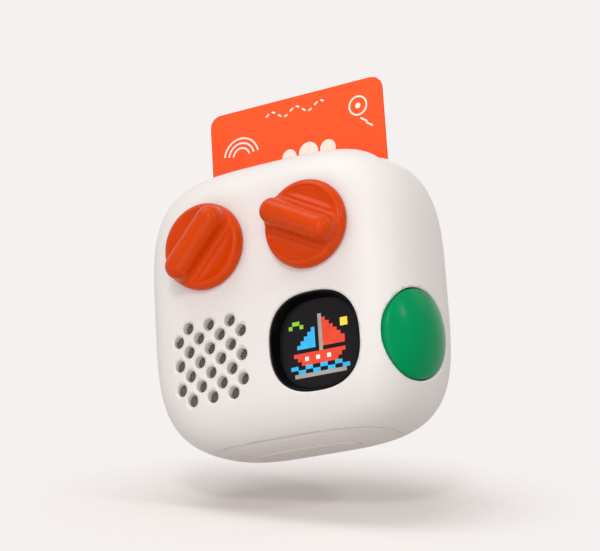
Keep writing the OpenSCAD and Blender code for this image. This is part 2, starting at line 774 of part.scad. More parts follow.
module speaker_cone() {
  edge = speaker_r - 2;
  color([0.12, 0.12, 0.13])
    speaker_turn([[0, basket_ring_y - 1.9], [coil_r - 0.2, basket_ring_y - 0.7], [coil_r + 0.1, basket_ring_y - 0.7],
                  [edge - 1.4, flange_y + 0.1], [edge - 1.2, flange_y - 0.35], [edge - 0.5, flange_y - 0.35],
                  [edge, flange_y - 0.2], [edge, flange_y], [edge - 0.9, flange_y], [edge - 1.2, flange_y + 0.7],
                  [coil_r + 0.2, basket_ring_y - 0.2], [coil_r - 0.2, basket_ring_y - 0.2],
                  [coil_r - 0.4, basket_ring_y - 0.4], [0, basket_ring_y - 1.5]]);
}

module voice_coil() {
  color([0.72, 0.42, 0.22])
    speaker_turn([[coil_r - coil_half_t, basket_ring_y - 0.2], [coil_r + coil_half_t, basket_ring_y - 0.2],
                  [coil_r + coil_half_t, magnet_y + 1.2], [coil_r - coil_half_t, magnet_y + 1.2]]);
}

module speaker_magnet() {
  gap_in = coil_r - 0.5;
  gap_out = coil_r + 0.5;
  back = magnet_y + magnet_l;
  color([0.45, 0.46, 0.48])
    speaker_turn([[0, magnet_y], [gap_in, magnet_y], [gap_in, back - 1.2], [gap_out, back - 1.2],
                  [gap_out, magnet_y], [magnet_r, magnet_y], [magnet_r, back - 0.4], [magnet_r - 0.4, back],
                  [0, back]]);
}

module speaker_screws() {
  color([0.72, 0.72, 0.74])
    for (a = speaker_ears) screw_to_front(ear_point(a)[0], ear_point(a)[1], flange_back, 3.1);
}

module speaker_leads() {
  y = encoder_back + board_t / 2;
  color([0.75, 0.16, 0.12])
    for (sx = [-1, 1])
      bar_z(-speaker_x + sx * 1.4, y, speaker_z + terminal_to, control_z - control_h / 2, lead_r);
}

// ---------- dials ----------

// Places children on the front: their z points out of the front wall
module on_front(x, z, y) { translate([x, y, z]) rotate([90, 0, 0]) children(); }

// A round bar with a flat, standing on z = 0
module d_bar(r, flat, h) {
  difference() {
    cylinder(h = h, r = r);
    translate([flat, -r - past, -past]) cube([2 * r, 2 * r + 2 * past, h + 2 * past]);
  }
}

// The disc's profile: flat underside, broad round edge, flat top
module dial_disc() {
  round_steps = 8;
  foot_edge = 0.3;
  rotate_extrude($fn = 96) polygon(concat(
    [[0, 0], [dial_r - foot_edge, 0], [dial_r, foot_edge]],
    [for (i = [0:round_steps]) let (a = 90 * i / round_steps)
      [dial_r - dial_edge_r + dial_edge_r * cos(a), dial_t - dial_edge_r + dial_edge_r * sin(a)]],
    [[0, dial_t]]));
}

// The fillet beside the grip: a quarter circle on each side, cut short of the rim
module grip_fillets() {
  steps = 6;
  foot = grip_r + grip_fillet;
  side = [for (i = [0:steps]) let (a = 90 * i / steps)
    [foot - grip_fillet * sin(a), dial_t + grip_fillet - grip_fillet * cos(a)]];
  profile = concat(side, [[0, dial_t + grip_fillet]], [for (i = [steps:-1:0]) [-side[i][0], side[i][1]]],
                   [[-foot, dial_t - 0.5], [foot, dial_t - 0.5]]);
  intersection() {
    rotate([90, 0, 90]) translate([0, 0, -dial_r]) linear_extrude(2 * dial_r) polygon(profile);
    cylinder(h = grip_h, r = dial_r - dial_edge_r + 0.4, $fn = 96);
  }
}

module grip() {
  hull() for (end = [-1, 1]) translate([end * grip_half_l, 0, 0]) {
    translate([0, 0, grip_h - grip_r]) sphere(r = grip_r, $fn = 32);
    translate([0, 0, dial_t - dial_edge_r]) cylinder(h = dial_edge_r, r = grip_r, $fn = 32);
  }
}

module knob(side, turn) {
  dish_r = dial_r - dial_edge_r;
  dish_y = grip_r + grip_fillet + 0.2;
  on_front(side * dial_x, dial_z, dial_base_y) rotate([0, 0, turn]) difference() {
    union() {
      difference() {
        dial_disc();
        for (s = [0, 180]) rotate([0, 0, s]) intersection() {
          translate([0, 0, dial_t - dish_depth]) cylinder(h = 2, r = dish_r, $fn = 96);
          translate([-dish_r, dish_y, 0]) cube([2 * dish_r, dish_r, 2 * dial_t]);
        }
      }
      grip_fillets();
      grip();
    }
    translate([0, 0, -past]) cylinder(h = knob_cavity_d + past, r = knob_cavity_r);
    translate([0, 0, -past]) d_bar(shaft_r + snug, shaft_flat + snug, shaft_depth_in_knob + 0.1 + past);
  }
}

module left_knob() { color([0.88, 0.30, 0.12]) knob(-1, left_turn); }

module right_knob() { color([0.88, 0.30, 0.12]) knob(1, right_turn); }

module knob_shaft(side, turn) {
  reach = rotor_back - dial_base_y;
  on_front(side * dial_x, dial_z, rotor_back) rotate([0, 0, turn])
    d_bar(shaft_r, shaft_flat, reach + shaft_depth_in_knob);
}

module left_knob_shaft() { color([0.75, 0.75, 0.77]) knob_shaft(-1, left_turn); }

module right_knob_shaft() { color([0.75, 0.75, 0.77]) knob_shaft(1, right_turn); }

module encoder_rotor(side, turn) {
  on_front(side * dial_x, dial_z, rotor_back) rotate([0, 0, turn]) difference() {
    cylinder(h = rotor_back - rotor_front, r = rotor_r);
    translate([0, 0, -past])
      d_bar(shaft_r + run, shaft_flat + run, rotor_back - rotor_front + 2 * past);
  }
}

module left_encoder_rotor() { color([0.82, 0.80, 0.74]) encoder_rotor(-1, left_turn); }

module right_encoder_rotor() { color([0.82, 0.80, 0.74]) encoder_rotor(1, right_turn); }

// Case with the rotor's room, and the threaded collar that passes the front wall
module encoder_case(side) {
  x = side * dial_x;
  difference() {
    union() {
      slab(x, dial_z, front_in, encoder_back) polygon(round_rect(encoder_w, encoder_h, 0.6, 3));
      bar_y(x, dial_z, -hd - nut_top, front_in + 0.5, collar_r);
    }
    bar_y(x, dial_z, rotor_front - 0.2, rotor_room_back, rotor_r + run);
    bar_y(x, dial_z, -hd - nut_top - past, rotor_front, shaft_r + run);
  }
}

module left_encoder_case() { color([0.60, 0.62, 0.64]) encoder_case(-1); }

module right_encoder_case() { color([0.60, 0.62, 0.64]) encoder_case(1); }

module encoder_nuts() {
  color([0.78, 0.78, 0.80])
    for (sx = [-1, 1]) on_front(sx * dial_x, dial_z, -hd - washer_t) difference() {
      cylinder(h = nut_t, r = collar_r + 1.9, $fn = 6);
      translate([0, 0, -past]) cylinder(h = nut_t + 2 * past, r = collar_r + snug, $fn = 48);
    }
}

module encoder_washers() {
  color([0.70, 0.70, 0.72])
    for (sx = [-1, 1]) on_front(sx * dial_x, dial_z, -hd) difference() {
      cylinder(h = washer_t, r = collar_r + 2.2);
      translate([0, 0, -past]) cylinder(h = washer_t + 2 * past, r = collar_r + snug);
    }
}

module control_board() {
  color([0.10, 0.32, 0.20]) difference() {
    slab(0, control_z, encoder_back, control_back) polygon(round_rect(control_w, control_h, 2));
    for (p = control_bosses()) bar_y(p[0], p[1], encoder_back - past, control_back + past, screw_r + 0.1);
  }
}

module control_board_screws() {
  color([0.72, 0.72, 0.74]) for (p = control_bosses()) screw_to_front(p[0], p[1], control_back, 5);
}

// ---------- card, guide and reader ----------

module story_card() {
  color([1.0, 0.36, 0.21]) slab(0, card_z + card_l / 2, card_y - card_t / 2, card_y + card_t / 2)
    polygon(round_rect(card_w, card_l, card_r, 8));
}

module card_guide() {
  window_z = dial_z - 4;
  color([0.86, 0.87, 0.88]) difference() {
    union() {
      block([-guide_w, guide_front, guide_bottom_z], [guide_w, guide_back, guide_top_z]);
      for (p = guide_bosses()) bar_y(p[0], p[1], guide_front, guide_front + ear_t, ear_r);
      for (sx = [-1, 1]) {
        block([min(sx * (guide_w - 1), sx * guide_ears_top), guide_front, guide_ear_z - ear_r],
              [max(sx * (guide_w - 1), sx * guide_ears_top), guide_front + ear_t, guide_ear_z + ear_r]);
        block([sx * guide_ears_low - ear_r, guide_front, guide_low_z],
              [sx * guide_ears_low + ear_r, guide_front + ear_t, guide_bottom_z + 0.5]);
        for (z = [reader_low_z + 2.6, reader_high_z - 2.6])
          bar_y(sx * pin_x, z, guide_back - 0.5, guide_back + reader_t + 0.6, pin_r);
      }
      for (p = tray_bosses()) bar_y(p[0], p[1], guide_back - 0.5, tray_y, ear_r);
      for (p = main_bosses()) bar_y(p[0], p[1], guide_back - 0.5, main_y, 2);
    }
    block([-guide_in_w, card_y - guide_in_t, guide_floor_z], [guide_in_w, card_y + guide_in_t, guide_top_z + past]);
    block([-4, guide_front - past, window_z - 10], [4, card_y, window_z + 10]);
    block([-1, card_y - 0.5, guide_bottom_z - past], [1, card_y + 0.5, guide_floor_z + past]);
    for (p = guide_bosses()) bar_y(p[0], p[1], guide_front - past, guide_front + ear_t + past, screw_r + 0.1);
    for (p = tray_bosses()) bar_y(p[0], p[1], tray_y - 2.4, tray_y + past, screw_r + snug);
    for (p = main_bosses()) bar_y(p[0], p[1], main_y - 4, main_y + past, screw_r + snug);
  }
}

module card_guide_screws() {
  color([0.72, 0.72, 0.74])
    for (p = guide_bosses()) screw_to_front(p[0], p[1], guide_front + ear_t, 8, screw_r, 1.6);
}

// Bowed leaf that keeps the card against the reader side
module card_spring() {
  z = dial_z - 4;
  t = 0.25;
  face = guide_front - t;
  touch = card_y - card_t / 2 - t - 0.06;
  route = [[face, z + 14], [face, z + 9.4], [touch - 0.5, z + 4], [touch, z + 1], [touch, z - 1],
           [touch - 0.5, z - 4], [guide_front + 0.2, z - 8.5]];
  color([0.80, 0.78, 0.70]) translate([-3, 0, 0]) rotate([90, 0, 90]) linear_extrude(6)
    polygon(concat(route, [for (i = [len(route) - 1:-1:0]) [route[i][0] + t, route[i][1]]]));
}

// Small switch under the guide; its pin passes the guide's floor and meets the card
module card_switch() {
  color([0.10, 0.10, 0.11]) union() {
    block([-4, card_y - 1.6, guide_bottom_z - 4], [4, card_y + 1.6, guide_bottom_z]);
    block([-0.8, card_y - 0.4, guide_bottom_z - 1], [0.8, card_y + 0.4, card_z - 0.06]);
  }
}

module reader_board() {
  color([0.10, 0.25, 0.45]) difference() {
    slab(0, (reader_low_z + reader_high_z) / 2, guide_back, guide_back + reader_t)
      polygon(round_rect(reader_w, reader_high_z - reader_low_z, 1.5));
    for (sx = [-1, 1], z = [reader_low_z + 2.6, reader_high_z - 2.6])
      bar_y(sx * pin_x, z, guide_back - past, guide_back + reader_t + past, pin_r + snug);
  }
}

module reader_ribbon() {
  low = guide_back + reader_t;
  high = main_y - ribbon_t;
  ribbon_x(-3, 3, [[low, reader_high_z - 4], [low, reader_high_z - 1], [high, main_low_z + 3],
                   [high, main_low_z + 6]]);
}

// ---------- side button ----------

// The cap: its face follows the housing's side and swells into a dome. Rings of points
// run from the middle to the rim, then down the rim to the flat back.
module button_cap() {
  steps = 48;
  shares = [0.2, 0.4, 0.6, 0.76, 0.88, 0.96, 1];
  edge_drop = [0, 0, 0, 0, 0, 0.12, 0.5];
  face = [
    for (i = [0:len(shares) - 1], j = [0:steps - 1])
      let (s = shares[i], a = 360 * j / steps, y = button_y + s * button_r * cos(a),
           z = button_z + s * button_r * sin(a))
        [side_x(y, z) + button_dome * (1 - s * s) - edge_drop[i], y, z]
  ];
  back = [for (j = [0:steps - 1]) let (a = 360 * j / steps)
    [button_back, button_y + button_r * cos(a), button_z + button_r * sin(a)]];
  points = concat(face, back, [[side_x(button_y, button_z) + button_dome, button_y, button_z],
                               [button_back, button_y, button_z]]);
  rings = len(shares);
  tip = (rings + 1) * steps;
  walls = [
    for (i = [0:rings - 1], j = [0:steps - 1])
      let (k = (j + 1) % steps, a = i * steps + j, b = i * steps + k, c = a + steps, d = b + steps)
        each [[a, b, d], [a, d, c]]
  ];
  tip_fan = [for (j = [0:steps - 1]) [tip, (j + 1) % steps, j]];
  back_fan = [for (j = [0:steps - 1]) [tip + 1, rings * steps + j, rings * steps + (j + 1) % steps]];
  polyhedron(points, concat(walls, tip_fan, back_fan));
}

module side_button() {
  color([0.0, 0.58, 0.36]) difference() {
    union() {
      button_cap();
      bar_x(button_y, button_z, stem_end, button_back + 0.8, stem_r);
    }
    difference() {
      bar_x(button_y, button_z, clip_x - run, clip_x + clip_t + run, stem_r + past);
      bar_x(button_y, button_z, clip_x - past, clip_x + clip_t + past, clip_groove_r);
    }
  }
}

module button_clip() {
  color([0.75, 0.75, 0.77]) difference() {
    bar_x(button_y, button_z, clip_x, clip_x + clip_t, stem_r + 1.1);
    bar_x(button_y, button_z, clip_x - past, clip_x + clip_t + past, clip_groove_r + snug);
    block([clip_x - past, button_y - 1.2, button_z], [clip_x + clip_t + past, button_y + 1.2, button_z + 6]);
  }
}

module switch_plunger() {
  color([0.10, 0.10, 0.11]) bar_x(button_y, button_z, stem_end - plunger_l, stem_end, plunger_r);
}

module switch_case() {
  half = 3.2;
  board_back = button_board_y + led_board_t;
  color([0.25, 0.25, 0.27]) difference() {
    block([switch_front - switch_l, board_back, button_z - half], [switch_front, button_y + half, button_z + half]);
    bar_x(button_y, button_z, stem_end - plunger_l - button_travel - 0.2, switch_front + past, plunger_r + run);
  }
}

module button_board() { color([0.10, 0.32, 0.20]) display_board(button_board_y, led_board_t); }

module button_ribbon() {
  low = button_board_y + led_board_t;
  ribbon_x(display_x - 9.5, display_x - 4.5,
           [[low, display_z + 9.5], [low, display_z + display_board_half + 0.5],
            [control_back, control_z - control_h / 2 + 0.5], [control_back, control_z - control_h / 2 + 4]]);
}

// ---------- main board, ports and battery ----------

module main_board() {
  w = main_right - main_left;
  color([0.10, 0.32, 0.20]) difference() {
    slab((main_left + main_right) / 2, main_low_z + main_h / 2, main_y, main_back)
      polygon(round_rect(w, main_h, 2));
    for (p = main_bosses()) bar_y(p[0], p[1], main_y - past, main_back + past, screw_r + 0.1);
  }
}

module main_board_screws() {
  color([0.72, 0.72, 0.74]) for (p = main_bosses()) screw_to_front(p[0], p[1], main_back, 4.7);
}

module radio_module() {
  color([0.75, 0.76, 0.78]) slab(11, main_low_z + main_h / 2, main_back, main_back + 2.2)
    polygon(round_rect(16, main_h - 7, 1, 3));
}

module processor() {
  color([0.08, 0.08, 0.09]) slab(-6, main_low_z + main_h / 2, main_back, main_back + 1)
    polygon(round_rect(9, main_h - 10, 0.4, 2));
}

// Flat cable past the right edge of the card guide, drawn as seen from above
module board_ribbon() {
  x = guide_w + 0.9;
  t = ribbon_t;
  start = control_w / 2 - 4;
  bottom = control_z - 5.5;
  color([0.76, 0.55, 0.25]) translate([0, 0, bottom]) linear_extrude(7)
    polygon([[start, control_back], [x, control_back], [x, main_y], [main_right - 5, main_y],
             [main_right - 5, main_y - t], [x - t, main_y - t], [x - t, control_back + t], [start, control_back + t]]);
}

// Socket for charging: a flat tube with a tongue inside
module charge_port() {
  depth = 7.3;
  face = -(hw - 1.6);
  color([0.70, 0.71, 0.73]) difference() {
    translate([face, port_y, port_z]) rotate([90, 0, 90])
      linear_extrude(depth) polygon(round_rect(port_t, port_w, port_t / 2 - 0.05, 6));
    translate([face - past, port_y, port_z]) rotate([90, 0, 90])
      linear_extrude(depth) difference() {
        polygon(round_rect(port_t - 0.6, port_w - 0.6, port_t / 2 - 0.4, 6));
        square([0.7, port_w - 2.4], center = true);
      }
  }
}

// Socket for headphones: a block with a round nose that fills the hole in the wall
module headphone_jack() {
  nose = -(hw - 1.4);
  block_x = -(in_hw - 3.6);
  color([0.10, 0.10, 0.11]) difference() {
    union() {
      block([block_x, main_y - jack_body, jack_z - 3], [nose + jack_l, main_y, jack_z + 3]);
      bar_x(jack_y, jack_z, nose, block_x + 0.5, jack_body / 2 - 0.2);
    }
    bar_x(jack_y, jack_z, nose - past, nose + jack_l - 1.5, jack_r);
  }
}

module battery() {
  color([0.60, 0.64, 0.70]) slab(0, battery_z, battery_y, battery_y + battery_t)
    polygon(round_rect(battery_l, battery_h, 2.5));
}

module battery_tray() {
  w = battery_l + 2 * (tray_gap + tray_t);
  h = battery_h + 2 * (tray_gap + tray_t);
  color([0.30, 0.31, 0.33]) difference() {
    union() {
      slab(0, battery_z, tray_y, tray_y + 6) polygon(round_rect(w, h, 3));
      for (p = tray_bosses()) {
        bar_y(p[0], p[1], tray_y, tray_y + 1.2, ear_r);
        block([min(p[0], sign(p[0]) * (w / 2 - 0.6)), tray_y, p[1] - ear_r],
              [max(p[0], sign(p[0]) * (w / 2 - 0.6)), tray_y + 1.2, p[1] + ear_r]);
      }
    }
    slab(0, battery_z, tray_y + tray_t, tray_y + 7)
      polygon(round_rect(battery_l + 2 * tray_gap, battery_h + 2 * tray_gap, 2.6));
    for (p = tray_bosses()) bar_y(p[0], p[1], tray_y - past, tray_y + 1.2 + past, screw_r + 0.1);
    block([3, tray_y + 2, battery_z], [9, tray_y + 7, battery_z + h]);
  }
}

module battery_tray_screws() {
  color([0.72, 0.72, 0.74]) for (p = tray_bosses()) screw_to_front(p[0], p[1], tray_y + 1.2, 3.2, screw_r, 1.6);
}

module battery_pad() {
  color([0.20, 0.20, 0.21]) slab(0, battery_z, tray_y + tray_t, battery_y)
    polygon(round_rect(battery_l - 6, battery_h - 6, 1.5, 3));
}

module battery_connector() {
  color([0.92, 0.92, 0.88])
    block([3, main_back, main_low_z + 0.4], [9, main_back + 2.6, main_low_z + 3]);
}

module battery_leads() {
  top = battery_z + battery_h / 2;
  color([0.75, 0.16, 0.12])
    for (x = [4.8, 7.2]) bar_z(x, main_back + 1.3, top, main_low_z + 0.4, 0.5);
}

main_housing();
rear_cover();
base_cover();
base_foot();
rear_screws();
base_screws();
display_cup();
display_window();
pixel_grid();
led_board();
board_spacers();
display_screws();
display_ribbon();
speaker_mesh();
speaker_gasket();
speaker_basket();
speaker_cone();
voice_coil();
speaker_magnet();
speaker_screws();
speaker_leads();
left_knob();
right_knob();
left_knob_shaft();
right_knob_shaft();
left_encoder_rotor();
right_encoder_rotor();
left_encoder_case();
right_encoder_case();
encoder_nuts();
encoder_washers();
control_board();
control_board_screws();
story_card();
card_guide();
card_guide_screws();
card_spring();
card_switch();
reader_board();
reader_ribbon();
side_button();
button_clip();
switch_plunger();
switch_case();
button_board();
button_ribbon();
main_board();
main_board_screws();
radio_module();
processor();
board_ribbon();
charge_port();
headphone_jack();
battery();
battery_tray();
battery_tray_screws();
battery_pad();
battery_leads();
battery_connector();
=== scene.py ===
import json
import bpy
import numpy as np
from mathutils import Matrix, Vector


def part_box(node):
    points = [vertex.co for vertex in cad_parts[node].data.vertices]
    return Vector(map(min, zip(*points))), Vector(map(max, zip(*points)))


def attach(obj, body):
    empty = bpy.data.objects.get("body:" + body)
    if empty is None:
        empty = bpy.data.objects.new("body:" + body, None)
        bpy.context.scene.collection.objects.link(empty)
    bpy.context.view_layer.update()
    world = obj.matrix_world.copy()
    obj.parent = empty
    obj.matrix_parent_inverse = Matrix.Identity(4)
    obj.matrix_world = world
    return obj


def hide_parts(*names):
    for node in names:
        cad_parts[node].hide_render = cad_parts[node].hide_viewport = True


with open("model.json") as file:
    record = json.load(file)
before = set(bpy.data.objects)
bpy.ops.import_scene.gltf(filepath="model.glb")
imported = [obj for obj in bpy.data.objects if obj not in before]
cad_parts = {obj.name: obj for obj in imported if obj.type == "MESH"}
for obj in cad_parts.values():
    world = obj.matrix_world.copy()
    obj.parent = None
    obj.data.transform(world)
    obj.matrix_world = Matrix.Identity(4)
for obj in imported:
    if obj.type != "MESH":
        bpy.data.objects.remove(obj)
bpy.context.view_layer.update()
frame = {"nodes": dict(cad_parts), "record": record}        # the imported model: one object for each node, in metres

mm = 0.001
nodes = frame["nodes"]
print("stage: frame loaded with", len(nodes), "nodes")


def lowest(node):        # lowest corner of a node, in mm
    return np.array(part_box(node)[0]) / mm


def highest(node):       # highest corner of a node, in mm
    return np.array(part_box(node)[1]) / mm


def middleOf(node):      # middle of a node's box, in mm
    return (lowest(node) + highest(node)) / 2


def addObject(name, data):
    piece = bpy.data.objects.new(name, data)
    bpy.context.scene.collection.objects.link(piece)
    return piece


# ---- camera, seen from the right and from a little below ----

cameraLook = {
    "place": (0.258946, -0.468815, -0.102415),     # metres
    "right": (0.865960, 0.496502, -0.059984),
    "down": (-0.184686, 0.206017, -0.960962),
    "ahead": (-0.464762, 0.843233, 0.270100),
    "lens": 125.604, "sensor": 36.0,
}


def makeCamera(look):
    data = bpy.data.cameras.new("camera")
    data.lens = look["lens"]
    data.sensor_width = look["sensor"]
    data.clip_start = 0.01
    camera = addObject("camera", data)
    axes = np.column_stack([look["right"], -np.array(look["down"]), -np.array(look["ahead"])])
    camera.matrix_world = Matrix.Translation(look["place"]) @ Matrix(axes.tolist()).to_4x4()
    bpy.context.scene.camera = camera


makeCamera(cameraLook)
viewRight = np.array(cameraLook["right"])
viewUp = -np.array(cameraLook["down"])
viewBack = -np.array(cameraLook["ahead"])

# ---- mesh tools ----


# Joins rings of points (rows x columns x 3) by quads. With ends "pole" the first and last ring shrink to
# their mean; with ends "loop" the last ring joins the first. Faces are turned so that the volume is positive.
def ringSkin(rings, ends="pole"):
    rows, cols = rings.shape[:2]
    here = np.arange(cols)
    step = (here + 1) % cols
    if ends == "loop":
        verts = rings.reshape(-1, 3)
        start = cols * np.arange(rows)[:, None]
        after = cols * ((np.arange(rows) + 1) % rows)[:, None]
        fans = np.zeros((0, 3), int)
    else:
        verts = np.vstack([rings[0].mean(0), rings[1:-1].reshape(-1, 3), rings[-1].mean(0)])
        start = 1 + cols * np.arange(rows - 3)[:, None]
        after = start + cols
        last = 1 + cols * (rows - 3)
        fans = np.vstack([np.stack([0 * here, 1 + step, 1 + here], -1),
                          np.stack([0 * here + len(verts) - 1, last + here, last + step], -1)])
    quads = np.stack([start + here, start + step, after + step, after + here], -1).reshape(-1, 4)
    tris = np.vstack([quads[:, [0, 1, 2]], quads[:, [0, 2, 3]], fans])
    volume = np.einsum("ij,ij->i", verts[tris[:, 0]], np.cross(verts[tris[:, 1]], verts[tris[:, 2]])).sum()
    if volume < 0:
        quads, fans = quads[:, ::-1], fans[:, ::-1]
    return verts, quads.tolist() + fans.tolist()


# Makes an object from points in mm and lists of corners
def makeObject(name, verts, faces):
    mesh = bpy.data.meshes.new(name)
    mesh.from_pydata((np.asarray(verts) * mm).tolist(), [], faces)
    mesh.update()
    return addObject(name, mesh)


# Several skins in one mesh
def makeGroup(name, skins):
    offset = np.cumsum([0] + [len(v) for v, f in skins])
    faces = [[corner + offset[i] for corner in face] for i, (v, f) in enumerate(skins) for face in f]
    return makeObject(name, np.vstack([v for v, f in skins]), faces)


def smoothShade(piece, degrees=35.0):
    mesh = piece.data
    mesh.polygons.foreach_set("use_smooth", np.ones(len(mesh.polygons), bool))
    mesh.set_sharp_from_angle(angle=np.radians(degrees))
    mesh.update()


def applyModifiers(piece):
    bpy.context.view_layer.update()
    graph = bpy.context.evaluated_depsgraph_get()
    piece.data = bpy.data.meshes.new_from_object(piece.evaluated_get(graph))
    piece.modifiers.clear()


# Cuts, joins or intersects with other closed meshes, one after another, and removes them
def carve(piece, tools, operation="DIFFERENCE"):
    for tool in tools:
        cut = piece.modifiers.new("cut", "BOOLEAN")
        cut.operation = operation
        cut.solver = "MANIFOLD"
        cut.object = tool
    applyModifiers(piece)
    for tool in tools:
        bpy.data.objects.remove(tool)


# A merged copy of a node's mesh, for use in a boolean
def nodeCopy(node):
    copy = addObject("copy", nodes[node].data.copy())
    weld = copy.modifiers.new("weld", "WELD")
    weld.merge_threshold = 1e-6                             # metres
    applyModifiers(copy)
    copy.data.materials.clear()
    return copy


# Gives a piece the finish of its slot, hangs it on the body that it rides on and hides the nodes that it stands for
def finishPiece(piece, body, slot, *replaced):
    piece.data.materials.clear()
    piece.data.materials.append(finishes[slot])
    piece.data.polygons.foreach_set("material_index", np.zeros(len(piece.data.polygons), int))
    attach(piece, body)
    if replaced:
        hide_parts(*replaced)


def boxTool(low, high):     # from its lowest and highest corners
    square = (low[0], low[1]), (high[0], low[1]), (high[0], high[1]), (low[0], high[1])
    corners = np.array([[x, y, z] for z in (low[2], high[2]) for x, y in square])
    sides = [[3, 2, 1, 0], [4, 5, 6, 7], [0, 1, 5, 4], [1, 2, 6, 5], [2, 3, 7, 6], [3, 0, 4, 7]]
    return makeObject("boxTool", corners, sides)


# ---- materials ----


def colour(r, g, b):     # screen colour from 0 to 255, as linear light
    c = np.array([r, g, b]) / 255
    return tuple(np.where(c <= 0.04045, c / 12.92, ((c + 0.055) / 1.055) ** 2.4).tolist()) + (1.0,)


def shade(rgba, k):      # the same colour, lighter or darker
    return tuple(min(1.0, c * k) for c in rgba[:3]) + (1.0,)


def fill(node, values):  # sets a shader node's inputs by name
    for name, value in values.items():
        node.inputs[name].default_value = value
    return node


# Starts a material and returns it with its nodes, links and shader
def startMaterial(name):
    material = bpy.data.materials.new(name)
    material.use_nodes = True
    tree = material.node_tree
    return material, tree.nodes, tree.links, tree.nodes["Principled BSDF"]


def objectPlace(net):
    return net.new("ShaderNodeTexCoord").outputs["Object"]


def noiseNode(net, links, scale, detail=3.0, stretch=(1, 1, 1)):
    turn = fill(net.new("ShaderNodeMapping"), {"Scale": stretch})
    noise = fill(net.new("ShaderNodeTexNoise"), {"Scale": scale, "Detail": detail})
    links.new(objectPlace(net), turn.inputs["Vector"])
    links.new(turn.outputs["Vector"], noise.inputs["Vector"])
    return noise.outputs["Fac"]


def waveNode(net, links, axis, scale):      # plain stripes across one axis
    stripes = fill(net.new("ShaderNodeTexWave"), {"Scale": scale, "Distortion": 0.0})
    stripes.bands_direction = axis
    links.new(objectPlace(net), stripes.inputs["Vector"])
    return stripes.outputs["Fac"]


def rampNode(net, links, source, low, high, start=0.35, end=0.65):
    ramp = net.new("ShaderNodeValToRGB")
    for stop, place, tone in zip(ramp.color_ramp.elements, (start, end), (low, high)):
        stop.position, stop.color = place, tone
    links.new(source, ramp.inputs["Fac"])
    return ramp.outputs["Color"]


def rangeNode(net, links, source, low, high):
    spread = fill(net.new("ShaderNodeMapRange"),
                  {"From Min": 0.3, "From Max": 0.7, "To Min": low, "To Max": high})
    links.new(source, spread.inputs["Value"])
    return spread.outputs["Result"]


def bumpNode(net, links, source, depth, shader, strength=1.0):
    bump = fill(net.new("ShaderNodeBump"), {"Strength": strength, "Distance": depth})
    links.new(source, bump.inputs["Height"])
    links.new(bump.outputs["Normal"], shader.inputs["Normal"])


# Moulded plastic: a broad, faint change of tone, a roughness that wanders and a fine grain in the surface
def plasticFinish(name, tone, roughness, tint=0.02, grain=900.0, depth=0.00001, coat=0.0, shine=0.5,
                  glow=0.0, glowRadius=(0.004, 0.001, 0.0004)):
    material, net, links, shader = startMaterial(name)
    tone = colour(*tone)
    broad = noiseNode(net, links, 45.0, 2.0)
    tinted = rampNode(net, links, broad, shade(tone, 1 - tint), shade(tone, 1 + tint))
    links.new(tinted, shader.inputs["Base Color"])
    fine = noiseNode(net, links, grain, 4.0)
    links.new(rangeNode(net, links, fine, roughness - 0.04, roughness + 0.04), shader.inputs["Roughness"])
    bumpNode(net, links, fine, depth, shader)
    fill(shader, {"Specular IOR Level": shine, "Coat Weight": coat, "Coat Roughness": 0.25})
    if glow:
        fill(shader, {"Subsurface Weight": glow, "Subsurface Radius": glowRadius, "Subsurface Scale": 1.0})
    return material


# Metal: fine scratches drawn out along one axis change roughness and height
def metalFinish(name, tone, roughness, stretch=(1, 14, 14)):
    material, net, links, shader = startMaterial(name)
    tone = colour(*tone)
    fill(shader, {"Metallic": 1.0})
    lines = noiseNode(net, links, 700.0, 5.0, stretch)
    links.new(rampNode(net, links, lines, shade(tone, 0.85), shade(tone, 1.1)), shader.inputs["Base Color"])
    links.new(rangeNode(net, links, lines, roughness - 0.08, roughness + 0.1), shader.inputs["Roughness"])
    bumpNode(net, links, lines, 0.000006, shader)
    return material


# Circuit board: solder mask over square-cornered copper tracks, with small bright pads
def boardFinish(name, mask, track):
    material, net, links, shader = startMaterial(name)
    mask, track = colour(*mask), colour(*track)
    turn = fill(net.new("ShaderNodeMapping"), {"Rotation": (np.pi / 2, 0, 0)})
    tracks = fill(net.new("ShaderNodeTexBrick"), {"Scale": 160.0, "Mortar Size": 0.06, "Color1": mask,
                                                  "Color2": shade(mask, 0.8), "Mortar": track})
    links.new(objectPlace(net), turn.inputs["Vector"])
    links.new(turn.outputs["Vector"], tracks.inputs["Vector"])
    cells = fill(net.new("ShaderNodeTexVoronoi"), {"Scale": 420.0})
    links.new(objectPlace(net), cells.inputs["Vector"])
    near = fill(net.new("ShaderNodeMath"), {1: 0.13})       # a pad's radius, as a share of its cell
    near.operation = "LESS_THAN"
    links.new(cells.outputs["Distance"], near.inputs[0])
    pads = net.new("ShaderNodeMix")
    pads.data_type = "RGBA"
    fill(pads, {"B": colour(196, 190, 176)})
    links.new(near.outputs["Value"], pads.inputs["Factor"])
    links.new(tracks.outputs["Color"], pads.inputs["A"])
    links.new(pads.outputs["Result"], shader.inputs["Base Color"])
    bumpNode(net, links, tracks.outputs["Fac"], 0.00004, shader)
    fill(shader, {"Roughness": 0.3, "Coat Weight": 0.5})
    return material


# Stripes across one axis: flat cable or wound wire
def stripeFinish(name, tone, line, scale, axis="X", metallic=0.0):
    material, net, links, shader = startMaterial(name)
    stripes = waveNode(net, links, axis, scale)
    tinted = rampNode(net, links, stripes, colour(*line), colour(*tone), 0.3, 0.5)
    links.new(tinted, shader.inputs["Base Color"])
    bumpNode(net, links, stripes, 0.00003, shader)
    fill(shader, {"Metallic": metallic, "Roughness": 0.35})
    return material


